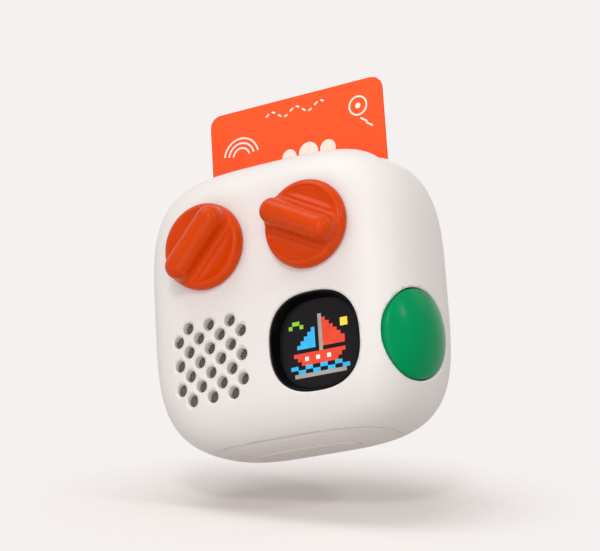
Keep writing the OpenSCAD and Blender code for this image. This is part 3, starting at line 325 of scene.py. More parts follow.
# Woven cloth over the speaker: two sets of threads cross, and the darker tone is the gap between them
def weaveFinish(name, thread, gap, scale):
    material, net, links, shader = startMaterial(name)
    both = net.new("ShaderNodeMath")
    both.operation = "MULTIPLY"
    for i, axis in enumerate(("X", "Z")):
        links.new(waveNode(net, links, axis, scale), both.inputs[i])
    crossed = both.outputs["Value"]
    tinted = rampNode(net, links, crossed, colour(*thread), colour(*gap), 0.15, 0.55)
    links.new(tinted, shader.inputs["Base Color"])
    bumpNode(net, links, crossed, 0.00012, shader, -1.0)
    fill(shader, {"Roughness": 0.8})
    return material


finishes = {
    "shell": plasticFinish("warmWhiteShell", (233, 229, 227), 0.45, 0.01, 1300.0, 0.000004,
                           shine=0.3, glow=0.12, glowRadius=(0.0025, 0.002, 0.0016)),
    "base_shell": plasticFinish("warmWhiteBase", (233, 226, 222), 0.48, 0.01, 1300.0, 0.000004,
                                shine=0.3),
    "foot_rubber": plasticFinish("paleFootRubber", (230, 223, 219), 0.55, 0.02, 1500.0, 0.00002,
                                 shine=0.2),
    "dial_orange": plasticFinish("orangeDial", (212, 67, 3), 0.27, 0.02, 900.0, 0.000003,
                                 shine=0.12, glow=0.04),
    "button_green": plasticFinish("greenButton", (0, 146, 88), 0.22, 0.02, 900.0, 0.000003,
                                  shine=0.05, glow=0.04, glowRadius=(0.0004, 0.003, 0.001)),
    "card_orange": plasticFinish("orangeCard", (255, 92, 48), 0.6, 0.01, 1500.0, 0.000003, shine=0.05),
    "black_plastic": plasticFinish("blackCup", (7, 6, 7), 0.3, 0.2, 1400.0, 0.000004, shine=0.1),
    "window": plasticFinish("smokedWindow", (26, 23, 27), 0.2, 0.1, 1800.0, 0.000002, shine=0.12),
    "grid": plasticFinish("darkGrid", (30, 30, 32), 0.6, 0.2),
    "board": boardFinish("greenBoard", (18, 92, 52), (40, 140, 84)),
    "reader": boardFinish("blueBoard", (16, 52, 104), (44, 96, 160)),
    "ribbon": stripeFinish("amberRibbon", (214, 148, 62), (150, 88, 30), 500.0),
    "steel": metalFinish("zincPlatedSteel", (196, 196, 200), 0.32),
    "spring_steel": metalFinish("springSteel", (206, 198, 176), 0.28),
    "copper": stripeFinish("woundCopper", (200, 112, 60), (120, 56, 24), 900.0, "Y", 1.0),
    "magnet": metalFinish("groundFerrite", (84, 86, 92), 0.45, (6, 6, 1)),
    "basket": plasticFinish("filledPlastic", (58, 60, 66), 0.55, 0.15, 500.0, 0.00002),
    "cone": plasticFinish("pressedPaper", (28, 28, 30), 0.85, 0.3, 1600.0, 0.00006),
    "foam": plasticFinish("closedFoam", (34, 34, 36), 0.9, 0.3, 2200.0, 0.00008),
    "mesh": weaveFinish("speakerCloth", (118, 108, 104), (12, 10, 10), 520.0),
    "zinc": metalFinish("dieCastZinc", (150, 154, 160), 0.42, (3, 3, 3)),
    "rotor": plasticFinish("naturalAcetal", (222, 214, 196), 0.4, 0.03),
    "guide": plasticFinish("greyGuide", (214, 217, 220), 0.5, 0.03),
    "shield": metalFinish("tinnedShield", (192, 194, 200), 0.26, (1, 1, 10)),
    "chip": plasticFinish("mouldedBlack", (22, 22, 24), 0.5, 0.2, 1500.0, 0.00001),
    "wrap": plasticFinish("cellPouch", (150, 160, 176), 0.3, 0.05, 300.0, 0.00005, 0.3),
    "tray": plasticFinish("greyTray", (70, 72, 78), 0.5, 0.08),
    "wire": plasticFinish("redWire", (196, 36, 26), 0.45, 0.05),
    "socket": plasticFinish("naturalNylon", (232, 230, 220), 0.45, 0.03),
}
finishes["print"] = plasticFinish("creamPrint", (255, 238, 226), 0.5, 0.01, 1500.0, 0.000003)
for part in frame["record"]["subparts"]:
    nodes[part["node"]].data.materials.clear()
    nodes[part["node"]].data.materials.append(finishes[part["material_slot"]])
print("stage: materials made:", len(finishes))

# ---- the housing's form ----

housing = {
    "halfWidth": 39.0, "halfDepth": 21.0, "halfHeight": 39.0, "middle": 39.0,      # mm
    "outlinePower": 3.9, "facePower": 7.0, "edgePower": 2.45,
    "wall": 2.2, "roof": 4.2, "skin": 0.4, "baseSeam": 2.05, "rearSeam": 14.5, "seamHalf": 0.03,
    "groove": 0.08, "frontFloor": 17.0, "leftFloor": 31.0,
}
farOut = 60.0            # mm, beyond the whole player


# The pillow form, or with a wall and a roof the hollow in it. The share of the front outline at depth y is
# (1 - |y/halfDepth|^edge)^(1/face), and the outline is a squared-off ellipse, taken at even directions. The
# rings are evenly spaced along the profile.
def pillowForm(name, wall=0.0, roof=0.0, grow=0.0, ringCount=150, around=320):
    halfW, halfD = housing["halfWidth"] - wall + grow, housing["halfDepth"] - wall + grow
    halfH = housing["halfHeight"] - roof + grow
    swing = np.radians(np.linspace(-90, 90, 2001))
    depth = np.sign(swing) * np.abs(np.sin(swing)) ** (2 / housing["edgePower"])
    share = np.cos(swing) ** (2 / housing["facePower"])
    run = np.concatenate([[0], np.cumsum(np.hypot(np.diff(depth * halfD), np.diff(share * halfW)))])
    even = np.linspace(0, run[-1], ringCount)
    depth, share = np.interp(even, run, depth), np.interp(even, run, share)
    turn = np.linspace(0, 2 * np.pi, around, endpoint=False)
    n = housing["outlinePower"]
    reach = (np.abs(np.cos(turn)) ** n + np.abs(np.sin(turn)) ** n) ** (-1 / n)
    rings = np.empty((ringCount, around, 3))
    rings[:, :, 0] = halfW * share[:, None] * reach * np.cos(turn)
    rings[:, :, 1] = halfD * depth[:, None]
    rings[:, :, 2] = housing["middle"] + halfH * share[:, None] * reach * np.sin(turn)
    return makeObject(name, *ringSkin(rings))


def hollowTool(grow=0.0):
    return pillowForm("hollow", housing["wall"], housing["roof"], grow, 70, 140)


def shareAt(y):          # share of the outline at depth y
    left = 1 - np.abs(y / housing["halfDepth"]) ** housing["edgePower"]
    return np.clip(left, 0, 1) ** (1 / housing["facePower"])


# Height of the front face over a point (x, z); the rear face is the same
def faceHeight(x, z):
    n = housing["outlinePower"]
    rho = (np.abs(x / housing["halfWidth"]) ** n
           + np.abs((z - housing["middle"]) / housing["halfHeight"]) ** n) ** (1 / n)
    return housing["halfDepth"] * np.clip(1 - rho ** housing["facePower"], 0, 1) ** (1 / housing["edgePower"])


# Distance of the side wall from the middle over a point (y, z)
def sideHeight(y, z):
    n = housing["outlinePower"]
    left = shareAt(y) ** n - np.abs((z - housing["middle"]) / housing["halfHeight"]) ** n
    return housing["halfWidth"] * np.clip(left, 0, 1) ** (1 / n)


# Height of the top over a point (x, y)
def topHeight(x, y):
    n = housing["outlinePower"]
    left = shareAt(y) ** n - np.abs(x / housing["halfWidth"]) ** n
    return housing["middle"] + housing["halfHeight"] * np.clip(left, 0, 1) ** (1 / n)


# The outward direction of the pillow form at points, from the gradient of its equation
def pillowNormals(points):
    n, p, q = housing["outlinePower"], housing["facePower"], housing["edgePower"]
    x = points[:, 0] / housing["halfWidth"]
    y = points[:, 1] / housing["halfDepth"]
    z = (points[:, 2] - housing["middle"]) / housing["halfHeight"]
    rho = np.maximum((np.abs(x) ** n + np.abs(z) ** n) ** (1 / n), 1e-6)
    value = rho ** p + np.abs(y) ** q - 1
    slope = np.stack([p * rho ** (p - n) * np.sign(x) * np.abs(x) ** (n - 1) / housing["halfWidth"],
                      q * np.sign(y) * np.abs(y) ** (q - 1) / housing["halfDepth"],
                      p * rho ** (p - n) * np.sign(z) * np.abs(z) ** (n - 1) / housing["halfHeight"]], -1)
    length = np.linalg.norm(slope, axis=1)
    return slope / length[:, None], value / length


# Gives corners that lie on the pillow form its exact direction, so that cut faces shade as one surface
def pillowShade(piece):
    nearForm, nearDirection = 0.03, 0.93                    # mm, and the cosine of the angle between
    smoothShade(piece, 30.0)
    mesh = piece.data
    points = np.empty(3 * len(mesh.vertices))
    mesh.vertices.foreach_get("co", points)
    exact, gap = pillowNormals(points.reshape(-1, 3) / mm)
    corners = np.empty(3 * len(mesh.loops))
    mesh.corner_normals.foreach_get("vector", corners)
    corners = corners.reshape(-1, 3)
    which = np.empty(len(mesh.loops), int)
    mesh.loops.foreach_get("vertex_index", which)
    agree = np.einsum("ij,ij->i", corners, exact[which])
    onForm = (np.abs(gap[which]) < nearForm) & (agree > nearDirection)
    corners[onForm] = exact[which][onForm]
    mesh.normals_split_custom_set(corners.tolist())


# Where local (u, v, outward) lies: each face of the housing has its own axes
faceAxes = {
    "front": lambda u, v, w: np.stack([u, -w, v], -1),
    "rear": lambda u, v, w: np.stack([-u, w, v], -1),
    "right": lambda u, v, w: np.stack([w, u, v], -1),
    "left": lambda u, v, w: np.stack([-w, -u, v], -1),
    "top": lambda u, v, w: np.stack([u, v, w], -1),
}
faceHeights = {
    "front": faceHeight, "rear": lambda u, v: faceHeight(-u, v), "right": sideHeight,
    "left": lambda u, v: sideHeight(-u, v), "top": topHeight,
}


# A closed tool that cuts a hole with a soft mouth. Its outline stands at "outline" in the face's plane. Going
# out, the wall is straight and then flares as an arc of radius rim that meets the housing's surface, whose
# slope is measured just outside the outline. The floor is a number, or a function of the outline's plane.
def mouthTool(face, outline, floor, rim, foot=0.0, floorRings=2):
    probe, lift, arcShare = 0.3, 3.0, 0.86                  # mm, mm, and the part of the arc that is used
    height = faceHeights[face]
    u, v = outline[:, 0], outline[:, 1]
    along = np.roll(outline, -1, 0) - np.roll(outline, 1, 0)
    along /= np.linalg.norm(along, axis=1)[:, None]
    nu, nv = along[:, 1], -along[:, 0]
    cu, cv = u.mean(), v.mean()
    if ((u - cu) * nu + (v - cv) * nv).sum() < 0:
        nu, nv = -nu, -nv
    floorAt = floor if callable(floor) else (lambda a, b: floor + 0 * a)
    top = height(u, v)
    tilt = np.arctan((top - height(u + probe * nu, v + probe * nv)) / probe)      # of the surface outside
    middle = top - rim * np.tan(tilt) - rim / np.cos(tilt)
    rows = []
    for s in np.linspace(0, 1, floorRings + 1)[:-1]:      # floor, middle first
        su, sv = cu + s * (u - cu), cv + s * (v - cv)
        rows.append((su, sv, floorAt(su, sv)))
    for a in np.linspace(0, np.pi / 2, 5 if foot else 1):      # inner corner
        inset = foot * (1 - np.sin(a)) if foot else 0.0
        rows.append((u - inset * nu, v - inset * nv, floorAt(u, v) + foot * (1 - np.cos(a))))
    for k in np.linspace(0, arcShare, 8):      # flare
        a = np.pi - k * (np.pi / 2 + tilt)
        off = rim + rim * np.cos(a)
        rows.append((u + off * nu, v + off * nv, middle + rim * np.sin(a)))
    a = np.pi - arcShare * (np.pi / 2 + tilt)      # straight on from the flare
    rows.append((rows[-1][0] + lift * np.cos(a) * nu, rows[-1][1] + lift * np.cos(a) * nv,
                 rows[-1][2] + lift * np.sin(a)))
    for s in np.linspace(1, 0, 7):      # lid above the surface
        su, sv = cu + s * (u - cu), cv + s * (v - cv)
        rows.append((su, sv, height(su, sv) + lift + 1.0))
    grid = np.stack([faceAxes[face](*row) for row in rows])
    return makeObject("mouth", *ringSkin(grid))


def circle(cu, cv, r, count=48):
    turn = np.linspace(0, 2 * np.pi, count, endpoint=False)
    return np.stack([cu + r * np.cos(turn), cv + r * np.sin(turn)], -1)


# A squared-off ellipse: |u|^power + |v|^power = 1, scaled to halfU and halfV, at even directions
def softSquare(cu, cv, halfU, halfV, power, count=160):
    turn = np.linspace(0, 2 * np.pi, count, endpoint=False)
    reach = (np.abs(np.cos(turn)) ** power + np.abs(np.sin(turn)) ** power) ** (-1 / power)
    return np.stack([cu + halfU * reach * np.cos(turn), cv + halfV * reach * np.sin(turn)], -1)


# Outline of a rectangle with round corners, its points evenly spaced
def roundedBox(cu, cv, halfU, halfV, r, count=240):
    corners = [(halfU - r, halfV - r, 0), (r - halfU, halfV - r, 90), (r - halfU, r - halfV, 180),
               (halfU - r, r - halfV, 270)]
    arcs = np.concatenate([np.stack([x + r * np.cos(t), y + r * np.sin(t)], -1)
                           for x, y, start in corners for t in [np.radians(start + np.linspace(0, 90, 16))]])
    closed = np.vstack([arcs, arcs[:1]])
    run = np.concatenate([[0], np.cumsum(np.linalg.norm(np.diff(closed, axis=0), axis=1))])
    even = np.linspace(0, run[-1], count, endpoint=False)
    return np.stack([cu + np.interp(even, run, closed[:, 0]), cv + np.interp(even, run, closed[:, 1])], -1)


# A round tube along a closed path of points in mm, used to cut a groove
def tubeTool(path, r, sides=8):
    along = np.roll(path, -1, 0) - np.roll(path, 1, 0)
    along /= np.linalg.norm(along, axis=1)[:, None]
    out = pillowNormals(path)[0]
    out -= np.einsum("ij,ij->i", out, along)[:, None] * along
    out /= np.linalg.norm(out, axis=1)[:, None]
    cross = np.cross(along, out)
    turn = np.linspace(0, 2 * np.pi, sides, endpoint=False)
    c, s = np.cos(turn)[:, None], np.sin(turn)[:, None]
    rings = path[:, None] + r * (c * out[:, None] + s * cross[:, None])
    return makeObject("groove", *ringSkin(rings, "loop"))


# Contour of the housing at height z: for each share of x, the depth comes from the form's equation
def contourAtHeight(z, count=400):
    n, p, q = housing["outlinePower"], housing["facePower"], housing["edgePower"]
    sink = (abs(z - housing["middle"]) / housing["halfHeight"]) ** n
    reachX = housing["halfWidth"] * (1 - sink) ** (1 / n)
    turn = np.linspace(0, 2 * np.pi, count, endpoint=False)
    x = reachX * np.sign(np.cos(turn)) * np.abs(np.cos(turn)) ** 0.6
    rho = ((np.abs(x) / housing["halfWidth"]) ** n + sink) ** (1 / n)
    y = housing["halfDepth"] * np.clip(1 - rho ** p, 0, 1) ** (1 / q) * np.sign(np.sin(turn) + 1e-12)
    return np.stack([x, y, 0 * x + z], -1)


# Contour of the housing at depth y: the front outline times its share there
def contourAtDepth(y, count=400):
    s = shareAt(np.array(y))
    flat = softSquare(0, 0, housing["halfWidth"] * s, housing["halfHeight"] * s, housing["outlinePower"],
                      count)
    return np.stack([flat[:, 0], 0 * flat[:, 0] + y, flat[:, 1] + housing["middle"]], -1)


# ---- housing, rear cover and base cover ----

windowLow, windowHigh = lowest("display_window"), highest("display_window")
windowMiddle = middleOf("display_window")
display = {"x": windowMiddle[0], "z": windowMiddle[2], "half": 12.8, "power": 2.5, "rim": 0.35, "gap": 0.15,
           "cupWall": 1.15, "flange": 1.15, "seat": 18.2, "neck": 19.2, "lip": 0.5}
grille = {"x": middleOf("speaker_mesh")[0], "z": middleOf("speaker_mesh")[2], "pitch": 6.35,
          "holeRadius": 1.62, "rim": 0.5, "rows": (3, 4, 3, 4, 3, 4, 3)}
trough = {"halfLength": 33.4, "front": -9.5, "rear": 2.0, "corner": 3.0, "depth": 2.3, "sideDepth": 2.5,
          "rim": 0.45, "foot": 0.9}
slot = {"halfLength": 27.6, "halfWidth": 0.85, "corner": 0.5, "y": 4.0,
        "spread": (0, 0, 0.04, 0.15, 0.3, 1.2), "rise": (-12, -0.3, -0.12, -0.03, 0, 0.6)}
buttonHole = {"y": -7.2, "z": 24.5, "front": 10.2, "rear": 13.8, "up": 10.9, "down": 12.0,
              "frontPower": 2.25, "rearPower": 2.0, "gap": 0.3, "rim": 0.35, "floor": 30.2}
dialHole = {"x": 15.3, "z": 53.898, "radius": 3.37, "rim": 0.2}
portHole = {"y": 9.2, "z": middleOf("charge_port")[2], "halfY": 1.75, "halfZ": 4.6, "rim": 0.35}
jackHole = {"y": 8.3, "z": middleOf("headphone_jack")[2], "radius": 2.34, "rim": 0.4}
rearScrews = {"radius": 2.3, "headRadius": 2.0, "seat": 16.6, "rim": 0.4}
footReach = highest("base_foot")
baseRecess = {"halfLength": footReach[0], "halfDepth": footReach[1], "top": footReach[2], "power": 2.8}


# Rows of holes half a pitch apart, each row centred
def grillePoints():
    rows, pitch = grille["rows"], grille["pitch"]
    return [(grille["x"] + (i - (n - 1) / 2) * pitch, grille["z"] + (k - (len(rows) - 1) / 2) * pitch / 2)
            for k, n in enumerate(rows) for i in range(n)]


# The trough's floor is a smaller squared-off outline, carried along y
def troughFloor(x, y):
    n = housing["outlinePower"]
    halfW = housing["halfWidth"] - trough["sideDepth"]
    halfH = housing["halfHeight"] - trough["depth"]
    return housing["middle"] + halfH * np.clip(1 - np.abs(x / halfW) ** n, 0, 1) ** (1 / n)


def troughTool():
    outline = roundedBox(0, (trough["front"] + trough["rear"]) / 2, trough["halfLength"],
                         (trough["rear"] - trough["front"]) / 2, trough["corner"], 360)
    return mouthTool("top", outline, troughFloor, trough["rim"], trough["foot"], 60)


# Outline of the side button in (y, z): |u|^n + |v|^n = 1, with a reach of its own each way and its own n
# before and behind, so that it looks round on the curved wall
def buttonOutline(share=1.0, grow=0.0, count=192):
    turn = np.linspace(0, 2 * np.pi, count, endpoint=False)
    c, s = np.cos(turn), np.sin(turn)
    n = np.where(c < 0, buttonHole["frontPower"], buttonHole["rearPower"])
    reach = (np.abs(c) ** n + np.abs(s) ** n) ** (-1 / n)
    along = share * np.where(c < 0, buttonHole["front"], buttonHole["rear"]) + grow
    tall = share * np.where(s < 0, buttonHole["down"], buttonHole["up"]) + grow
    return np.stack([buttonHole["y"] + along * reach * c, buttonHole["z"] + tall * reach * s], -1)


# The slot for the card: each ring is the outline, moved out by spread and up by rise from the trough's floor
def slotTool():
    outline = roundedBox(0, slot["y"], slot["halfLength"], slot["halfWidth"], slot["corner"], 200)
    floor = troughFloor(outline[:, 0], outline[:, 1])
    out = np.clip(outline - [0, slot["y"]], -1, 1)
    rings = [np.column_stack([outline + spread * out, floor + rise])
             for spread, rise in zip(slot["spread"], slot["rise"])]
    foot, head = [rings[0] * 0 + [0, slot["y"], z] for z in (rings[0][:, 2].min() - 1, 90)]
    return makeObject("slot", *ringSkin(np.stack([foot] + rings + [head])))


# Joins what stands on the inside of a node's walls
def addInside(shell, node):
    inside = nodeCopy(node)
    carve(inside, [hollowTool(housing["skin"])], "INTERSECT")
    carve(shell, [inside], "UNION")


def makeHousing():
    shell = pillowForm("housing_shell")
    carve(shell, [hollowTool()])
    addInside(shell, "main_housing")
    rearEdge = housing["rearSeam"] - housing["seamHalf"]
    baseEdge = housing["baseSeam"] + housing["seamHalf"]
    tools = [boxTool((-farOut, rearEdge, -farOut), (farOut, farOut, 2 * farOut)),
             boxTool((-farOut, -farOut, -farOut), (farOut, farOut, baseEdge)),
             tubeTool(contourAtHeight(housing["baseSeam"]), housing["groove"]),
             tubeTool(contourAtDepth(housing["rearSeam"]), housing["groove"]),
             troughTool(), slotTool()]
    front, left = housing["frontFloor"], housing["leftFloor"]
    for x, z in grillePoints():
        tools.append(mouthTool("front", circle(x, z, grille["holeRadius"], 40), front, grille["rim"]))
    opening = softSquare(display["x"], display["z"], display["half"], display["half"], display["power"])
    tools.append(mouthTool("front", opening, front, display["rim"]))
    for side in (-1, 1):
        hole = circle(side * dialHole["x"], dialHole["z"], dialHole["radius"])
        tools.append(mouthTool("front", hole, front, dialHole["rim"]))
    opening = buttonOutline(1.0, buttonHole["gap"])
    tools.append(mouthTool("right", opening, buttonHole["floor"], buttonHole["rim"]))
    port = roundedBox(-portHole["y"], portHole["z"], portHole["halfY"], portHole["halfZ"],
                      portHole["halfY"] - 0.05, 80)
    jack = circle(-jackHole["y"], jackHole["z"], jackHole["radius"])
    tools += [mouthTool("left", port, left, portHole["rim"]), mouthTool("left", jack, left, jackHole["rim"])]
    carve(shell, tools)
    pillowShade(shell)
    finishPiece(shell, "casing", "shell", "main_housing")


def rearScrewPoints():
    low, high, r = lowest("rear_screws"), highest("rear_screws"), rearScrews["headRadius"]
    return [(x, z) for x in (low[0] + r, high[0] - r) for z in (low[2] + r, high[2] - r)]


def makeRearCover():
    cover = pillowForm("rear_cover_shell")
    carve(cover, [hollowTool()])
    edge = housing["rearSeam"] + housing["seamHalf"]
    carve(cover, [boxTool((-farOut, -farOut, -farOut), (farOut, edge, 2 * farOut))])
    addInside(cover, "rear_cover")
    tools = [tubeTool(contourAtDepth(housing["rearSeam"]), housing["groove"])]
    for x, z in rearScrewPoints():
        hole = circle(-x, z, rearScrews["radius"] + 0.02, 48)
        tools.append(mouthTool("rear", hole, rearScrews["seat"], rearScrews["rim"]))
    carve(cover, tools)
    pillowShade(cover)
    finishPiece(cover, "casing", "shell", "rear_cover")


crease = {"halfLength": 20.9, "halfDepth": 12.2, "power": 3.0, "radius": 0.12}


# The base cover is the bottom of the form. A fine crease runs round it just inside the seam.
def makeBaseCover():
    cover = pillowForm("base_cover_shell")
    ring = softSquare(0, 0, crease["halfLength"], crease["halfDepth"], crease["power"], 300)
    path = np.stack([ring[:, 0], ring[:, 1], 2 * housing["middle"] - topHeight(ring[:, 0], ring[:, 1])], -1)
    gap, under, top = 0.05, -3.0, baseRecess["top"]
    recess = softSquare(0, 0, baseRecess["halfLength"] + gap, baseRecess["halfDepth"] + gap,
                        baseRecess["power"])
    rings = np.stack([np.column_stack([recess, 0 * recess[:, 0] + z]) for z in (under, under, top, top)])
    edge = housing["baseSeam"] - housing["seamHalf"]
    carve(cover, [boxTool((-farOut, -farOut, edge), (farOut, farOut, 2 * farOut)),
                  tubeTool(contourAtHeight(housing["baseSeam"]), housing["groove"]),
                  tubeTool(path, crease["radius"]), makeObject("recess", *ringSkin(rings))])
    pillowShade(cover)
    finishPiece(cover, "casing", "base_shell", "base_cover")


makeHousing()
makeRearCover()
makeBaseCover()
print("stage: housing, rear cover and base cover made")

# ---- dials ----

dial = {
    "x": 15.3, "z": 53.898, "base": -21.45, "radius": 11.6, "thickness": 2.8, "rimRadius": 2.0,     # mm
    "gripHeight": 9.1, "gripRadius": 3.5, "gripHalf": 7.4, "fillet": 1.5, "endFillet": 0.5,
    "filletHeight": 2.2, "sink": 1.9, "start": 0.08,
    "dishDepth": 0.65, "dishFrom": 5.2, "dishEdge": 1.6, "dishRadius": 11.0, "dishRimEdge": 3.4,
    "cavityRadius": 7.2, "cavityDepth": 1.65, "boreRadius": 2.03, "boreDepth": 6.2,
    "leftTurn": 47.0, "rightTurn": -28.0,
}


def softStep(t):         # rises smoothly from 0 to 1
    t = np.clip(t, 0, 1)
    return t * t * (3 - 2 * t)


# Rings of the disc about its axis: the top from the middle out, with two D-shaped dishes whose depth rises
# smoothly from the chord and from the rim, then the round rim, the underside, the cavity and the shaft's bore
def dialDisc():
    turn = np.linspace(0, 2 * np.pi, 256, endpoint=False)
    thick, rim = dial["thickness"], dial["radius"] - dial["rimRadius"]
    rows = []
    for r in np.linspace(0, rim, 70):
        fromChord = softStep((np.abs(r * np.sin(turn)) - dial["dishFrom"]) / dial["dishEdge"])
        fromRim = softStep((dial["dishRadius"] - r) / dial["dishRimEdge"])
        rows.append((r, thick - dial["dishDepth"] * (fromChord * fromRim)))
    for a in np.radians(np.linspace(8, 90, 9)):
        rows.append((rim + dial["rimRadius"] * np.sin(a), thick - dial["rimRadius"] * (1 - np.cos(a))))
    rows += [(dial["radius"], 0.3), (dial["radius"] - 0.09, 0.09), (dial["radius"] - 0.3, 0.0),
             (dial["cavityRadius"] + 0.2, 0.0), (dial["cavityRadius"], 0.2),
             (dial["cavityRadius"], dial["cavityDepth"]), (dial["boreRadius"], dial["cavityDepth"]),
             (dial["boreRadius"], dial["boreDepth"]), (0.0, dial["boreDepth"])]
    return np.stack([np.stack([r * np.cos(turn), r * np.sin(turn), h + 0 * turn], -1) for r, h in rows])


# Rings of the grip: a stadium outline, moved out and up along a profile. The foot is a concave quarter arc,
# wide along the sides and narrow at the ends, then comes a straight wall and a round crest.
def dialGrip():
    half, r, thick = dial["gripHalf"], dial["gripRadius"], dial["thickness"]
    ends = np.linspace(-90, 90, 33)
    along = np.linspace(0, 1, 24)[1:-1]
    right = np.stack([half + 0 * ends, 0 * ends, np.cos(np.radians(ends)), np.sin(np.radians(ends))], -1)
    side = np.stack([half - 2 * half * along, 0 * along, 0 * along, 1 + 0 * along], -1)
    loop = np.concatenate([right, side, right * [-1, 1, -1, -1], side * [-1, 1, 1, -1]])
    lateral = softStep(1.6 * np.abs(loop[:, 3]) - 0.6)      # 0 at the bar's ends, 1 at its sides
    width = dial["endFillet"] + (dial["fillet"] - dial["endFillet"]) * lateral
    rows = [(width, thick - dial["sink"]), (width, thick - dial["start"])]
    for a in np.radians(np.linspace(10, 90, 12)):
        rows.append((width * (1 - np.sin(a)), thick + dial["filletHeight"] * (1 - np.cos(a))))
    for b in np.radians(np.linspace(0, 90, 16)[:-1]):       # the crest's last ring would be a line
        rows.append((-r * (1 - np.cos(b)), dial["gripHeight"] - r + r * np.sin(b)))
    return np.stack([np.stack([loop[:, 0] + (r + d) * loop[:, 2], loop[:, 1] + (r + d) * loop[:, 3],
                               h + 0 * loop[:, 0]], -1) for d, h in rows])


# Turns points about their w axis and stands them on the front, w outwards
def placeOnFront(points, x, y, z, degrees):
    a = np.radians(degrees)
    u, v, w = points[..., 0], points[..., 1], points[..., 2]
    return np.stack([x + u * np.cos(a) - v * np.sin(a), y - w, z + u * np.sin(a) + v * np.cos(a)], -1)


# Joins the grip's rings, and closes them by a flat face at the foot and one at the crest
def gripSkin(grid):
    rows, cols = grid.shape[:2]
    here = np.arange(cols)
    step = (here + 1) % cols
    start = cols * np.arange(rows - 1)[:, None]
    quads = np.stack([start + here, start + step, start + cols + step, start + cols + here], -1)
    ends = [list(range((rows - 1) * cols, rows * cols)), list(range(cols))[::-1]]
    return grid.reshape(-1, 3), quads.reshape(-1, 4).tolist() + ends


def makeDial(name, side, degrees):
    def place(points):
        return placeOnFront(points, side * dial["x"], dial["base"], dial["z"], degrees)

    disc = makeObject(name, *ringSkin(place(dialDisc())))
    carve(disc, [makeObject("grip", *gripSkin(place(dialGrip())))], "UNION")
    smoothShade(disc, 17.0)                                 # keeps the line at the bar's foot
    body = "left_dial" if side < 0 else "right_dial"
    finishPiece(disc, body, "dial_orange", "left_knob" if side < 0 else "right_knob")


makeDial("left_dial_knob", -1, dial["leftTurn"])
makeDial("right_dial_knob", 1, dial["rightTurn"])
print("stage: dials made")

# ---- side button ----

button = {"dome": 2.08, "edge": 0.06, "roll": 0.7, "wall": 1.2, "flange": 31.5, "stem": 0.21,
          "back": lowest("side_button")[0]}


# Rings about the button's axis. The face follows the housing's side and swells by dome times one minus the
# square of the share of the outline. Its edge rolls over in a quarter arc, and then come the wall, the flat
# back and the stem.
def makeButton():
    def ring(share, lift, x=None):
        flat = buttonOutline(share)
        height = sideHeight(flat[:, 0], flat[:, 1]) + lift if x is None else 0 * flat[:, 0] + x
        return np.stack([height, flat[:, 0], flat[:, 1]], -1)

    reach = 1 - button["edge"]
    rows = [ring(share, button["dome"] * (1 - share ** 2)) for share in np.linspace(0, reach, 60)]
    low = button["dome"] * (1 - reach ** 2)
    for a in np.radians(np.linspace(10, 90, 8)):
        drop = low - button["roll"] * (1 - np.cos(a)) - 2 * low / 3 * np.sin(a)
        rows.append(ring(reach + button["edge"] * np.sin(a), drop))
    stem, flange, back = button["stem"], button["flange"], button["back"]
    rows += [ring(1.0, -button["wall"]), ring(1.0, 0, flange), ring(stem, 0, flange), ring(stem, 0, back),
             ring(0.0, 0, back)]
    piece = makeObject("green_button", *ringSkin(np.stack(rows)))
    smoothShade(piece, 40.0)
    finishPiece(piece, "side_button", "button_green", "side_button")


makeButton()
print("stage: side button made")

# ---- display ----


# The cup is a loop of rings: up the outside to just under the housing's surface, over a round lip, down the
# inside to the window, and back along the flange behind it
def makeCup():
    front, back = -windowLow[1], -windowHigh[1]
    half, wall, lip = display["half"] - display["gap"], display["cupWall"], display["lip"]
    flange, seat = display["flange"], display["seat"]

    def ring(inset, w=None, drop=0.0):
        flat = softSquare(display["x"], display["z"], half - inset, half - inset, display["power"], 200)
        height = faceHeight(flat[:, 0], flat[:, 1]) - drop if w is None else 0 * flat[:, 0] + w
        return np.stack([flat[:, 0], -height, flat[:, 1]], -1)

    rows = [ring(-flange, back), ring(-flange, seat), ring(0, seat), ring(0, display["neck"]),
            ring(0, None, 0.5)]
    for a in np.radians(np.linspace(15, 180, 12)):
        rows.append(ring(lip / 2 - lip / 2 * np.cos(a), None, 0.5 - 0.25 * np.sin(a)))
    rows += [ring(wall + 0.05, front + 0.3), ring(wall + 0.12, front + 0.05), ring(wall + 0.12, front - 0.9),
             ring(0.5, front - 0.95), ring(0.5, back)]
    piece = makeObject("black_cup", *ringSkin(np.stack(rows), "loop"))
    smoothShade(piece, 40.0)
    finishPiece(piece, "casing", "black_plastic", "display_cup")


# The picture: each letter is one pixel, and a dot is dark
pixelPicture = {
    "pitch": 1.06, "tile": 1.058, "proud": 0.03, "glow": 0.35,
    "colours": {"g": (130, 190, 50), "c": (40, 168, 220), "y": (225, 205, 62), "r": (214, 60, 32),
                "w": (232, 232, 226), "s": (150, 146, 142)},
    "rows": ["................",
             "........s.......",
             ".gg.....sr......",
             "g..g....srr...yy",
             "......c.srrr..yy",
             ".....cc.srrrr...",
             "....ccc.srrrrr..",
             "...cccc.srrrrrr.",
             "..ccccc.srrrrrr.",
             "........s.......",
             ".rrrrrrrrrrrrrr.",
             "..rrwrrwrrwrrr..",
             "...rrrrrrrrrr...",
             "cc..cc..cc..cc..",
             "..cc..cc..cc..cc",
             ".ssssssssssssss."],
}


def pixelFinish(name, tone):
    material, net, links, shader = startMaterial(name)
    fine = noiseNode(net, links, 600.0, 2.0)
    tinted = rampNode(net, links, fine, shade(tone, 0.9), shade(tone, 1.05))
    links.new(tinted, shader.inputs["Base Color"])
    links.new(tinted, shader.inputs["Emission Color"])
    fill(shader, {"Emission Strength": pixelPicture["glow"], "Roughness": 0.3})
    return material


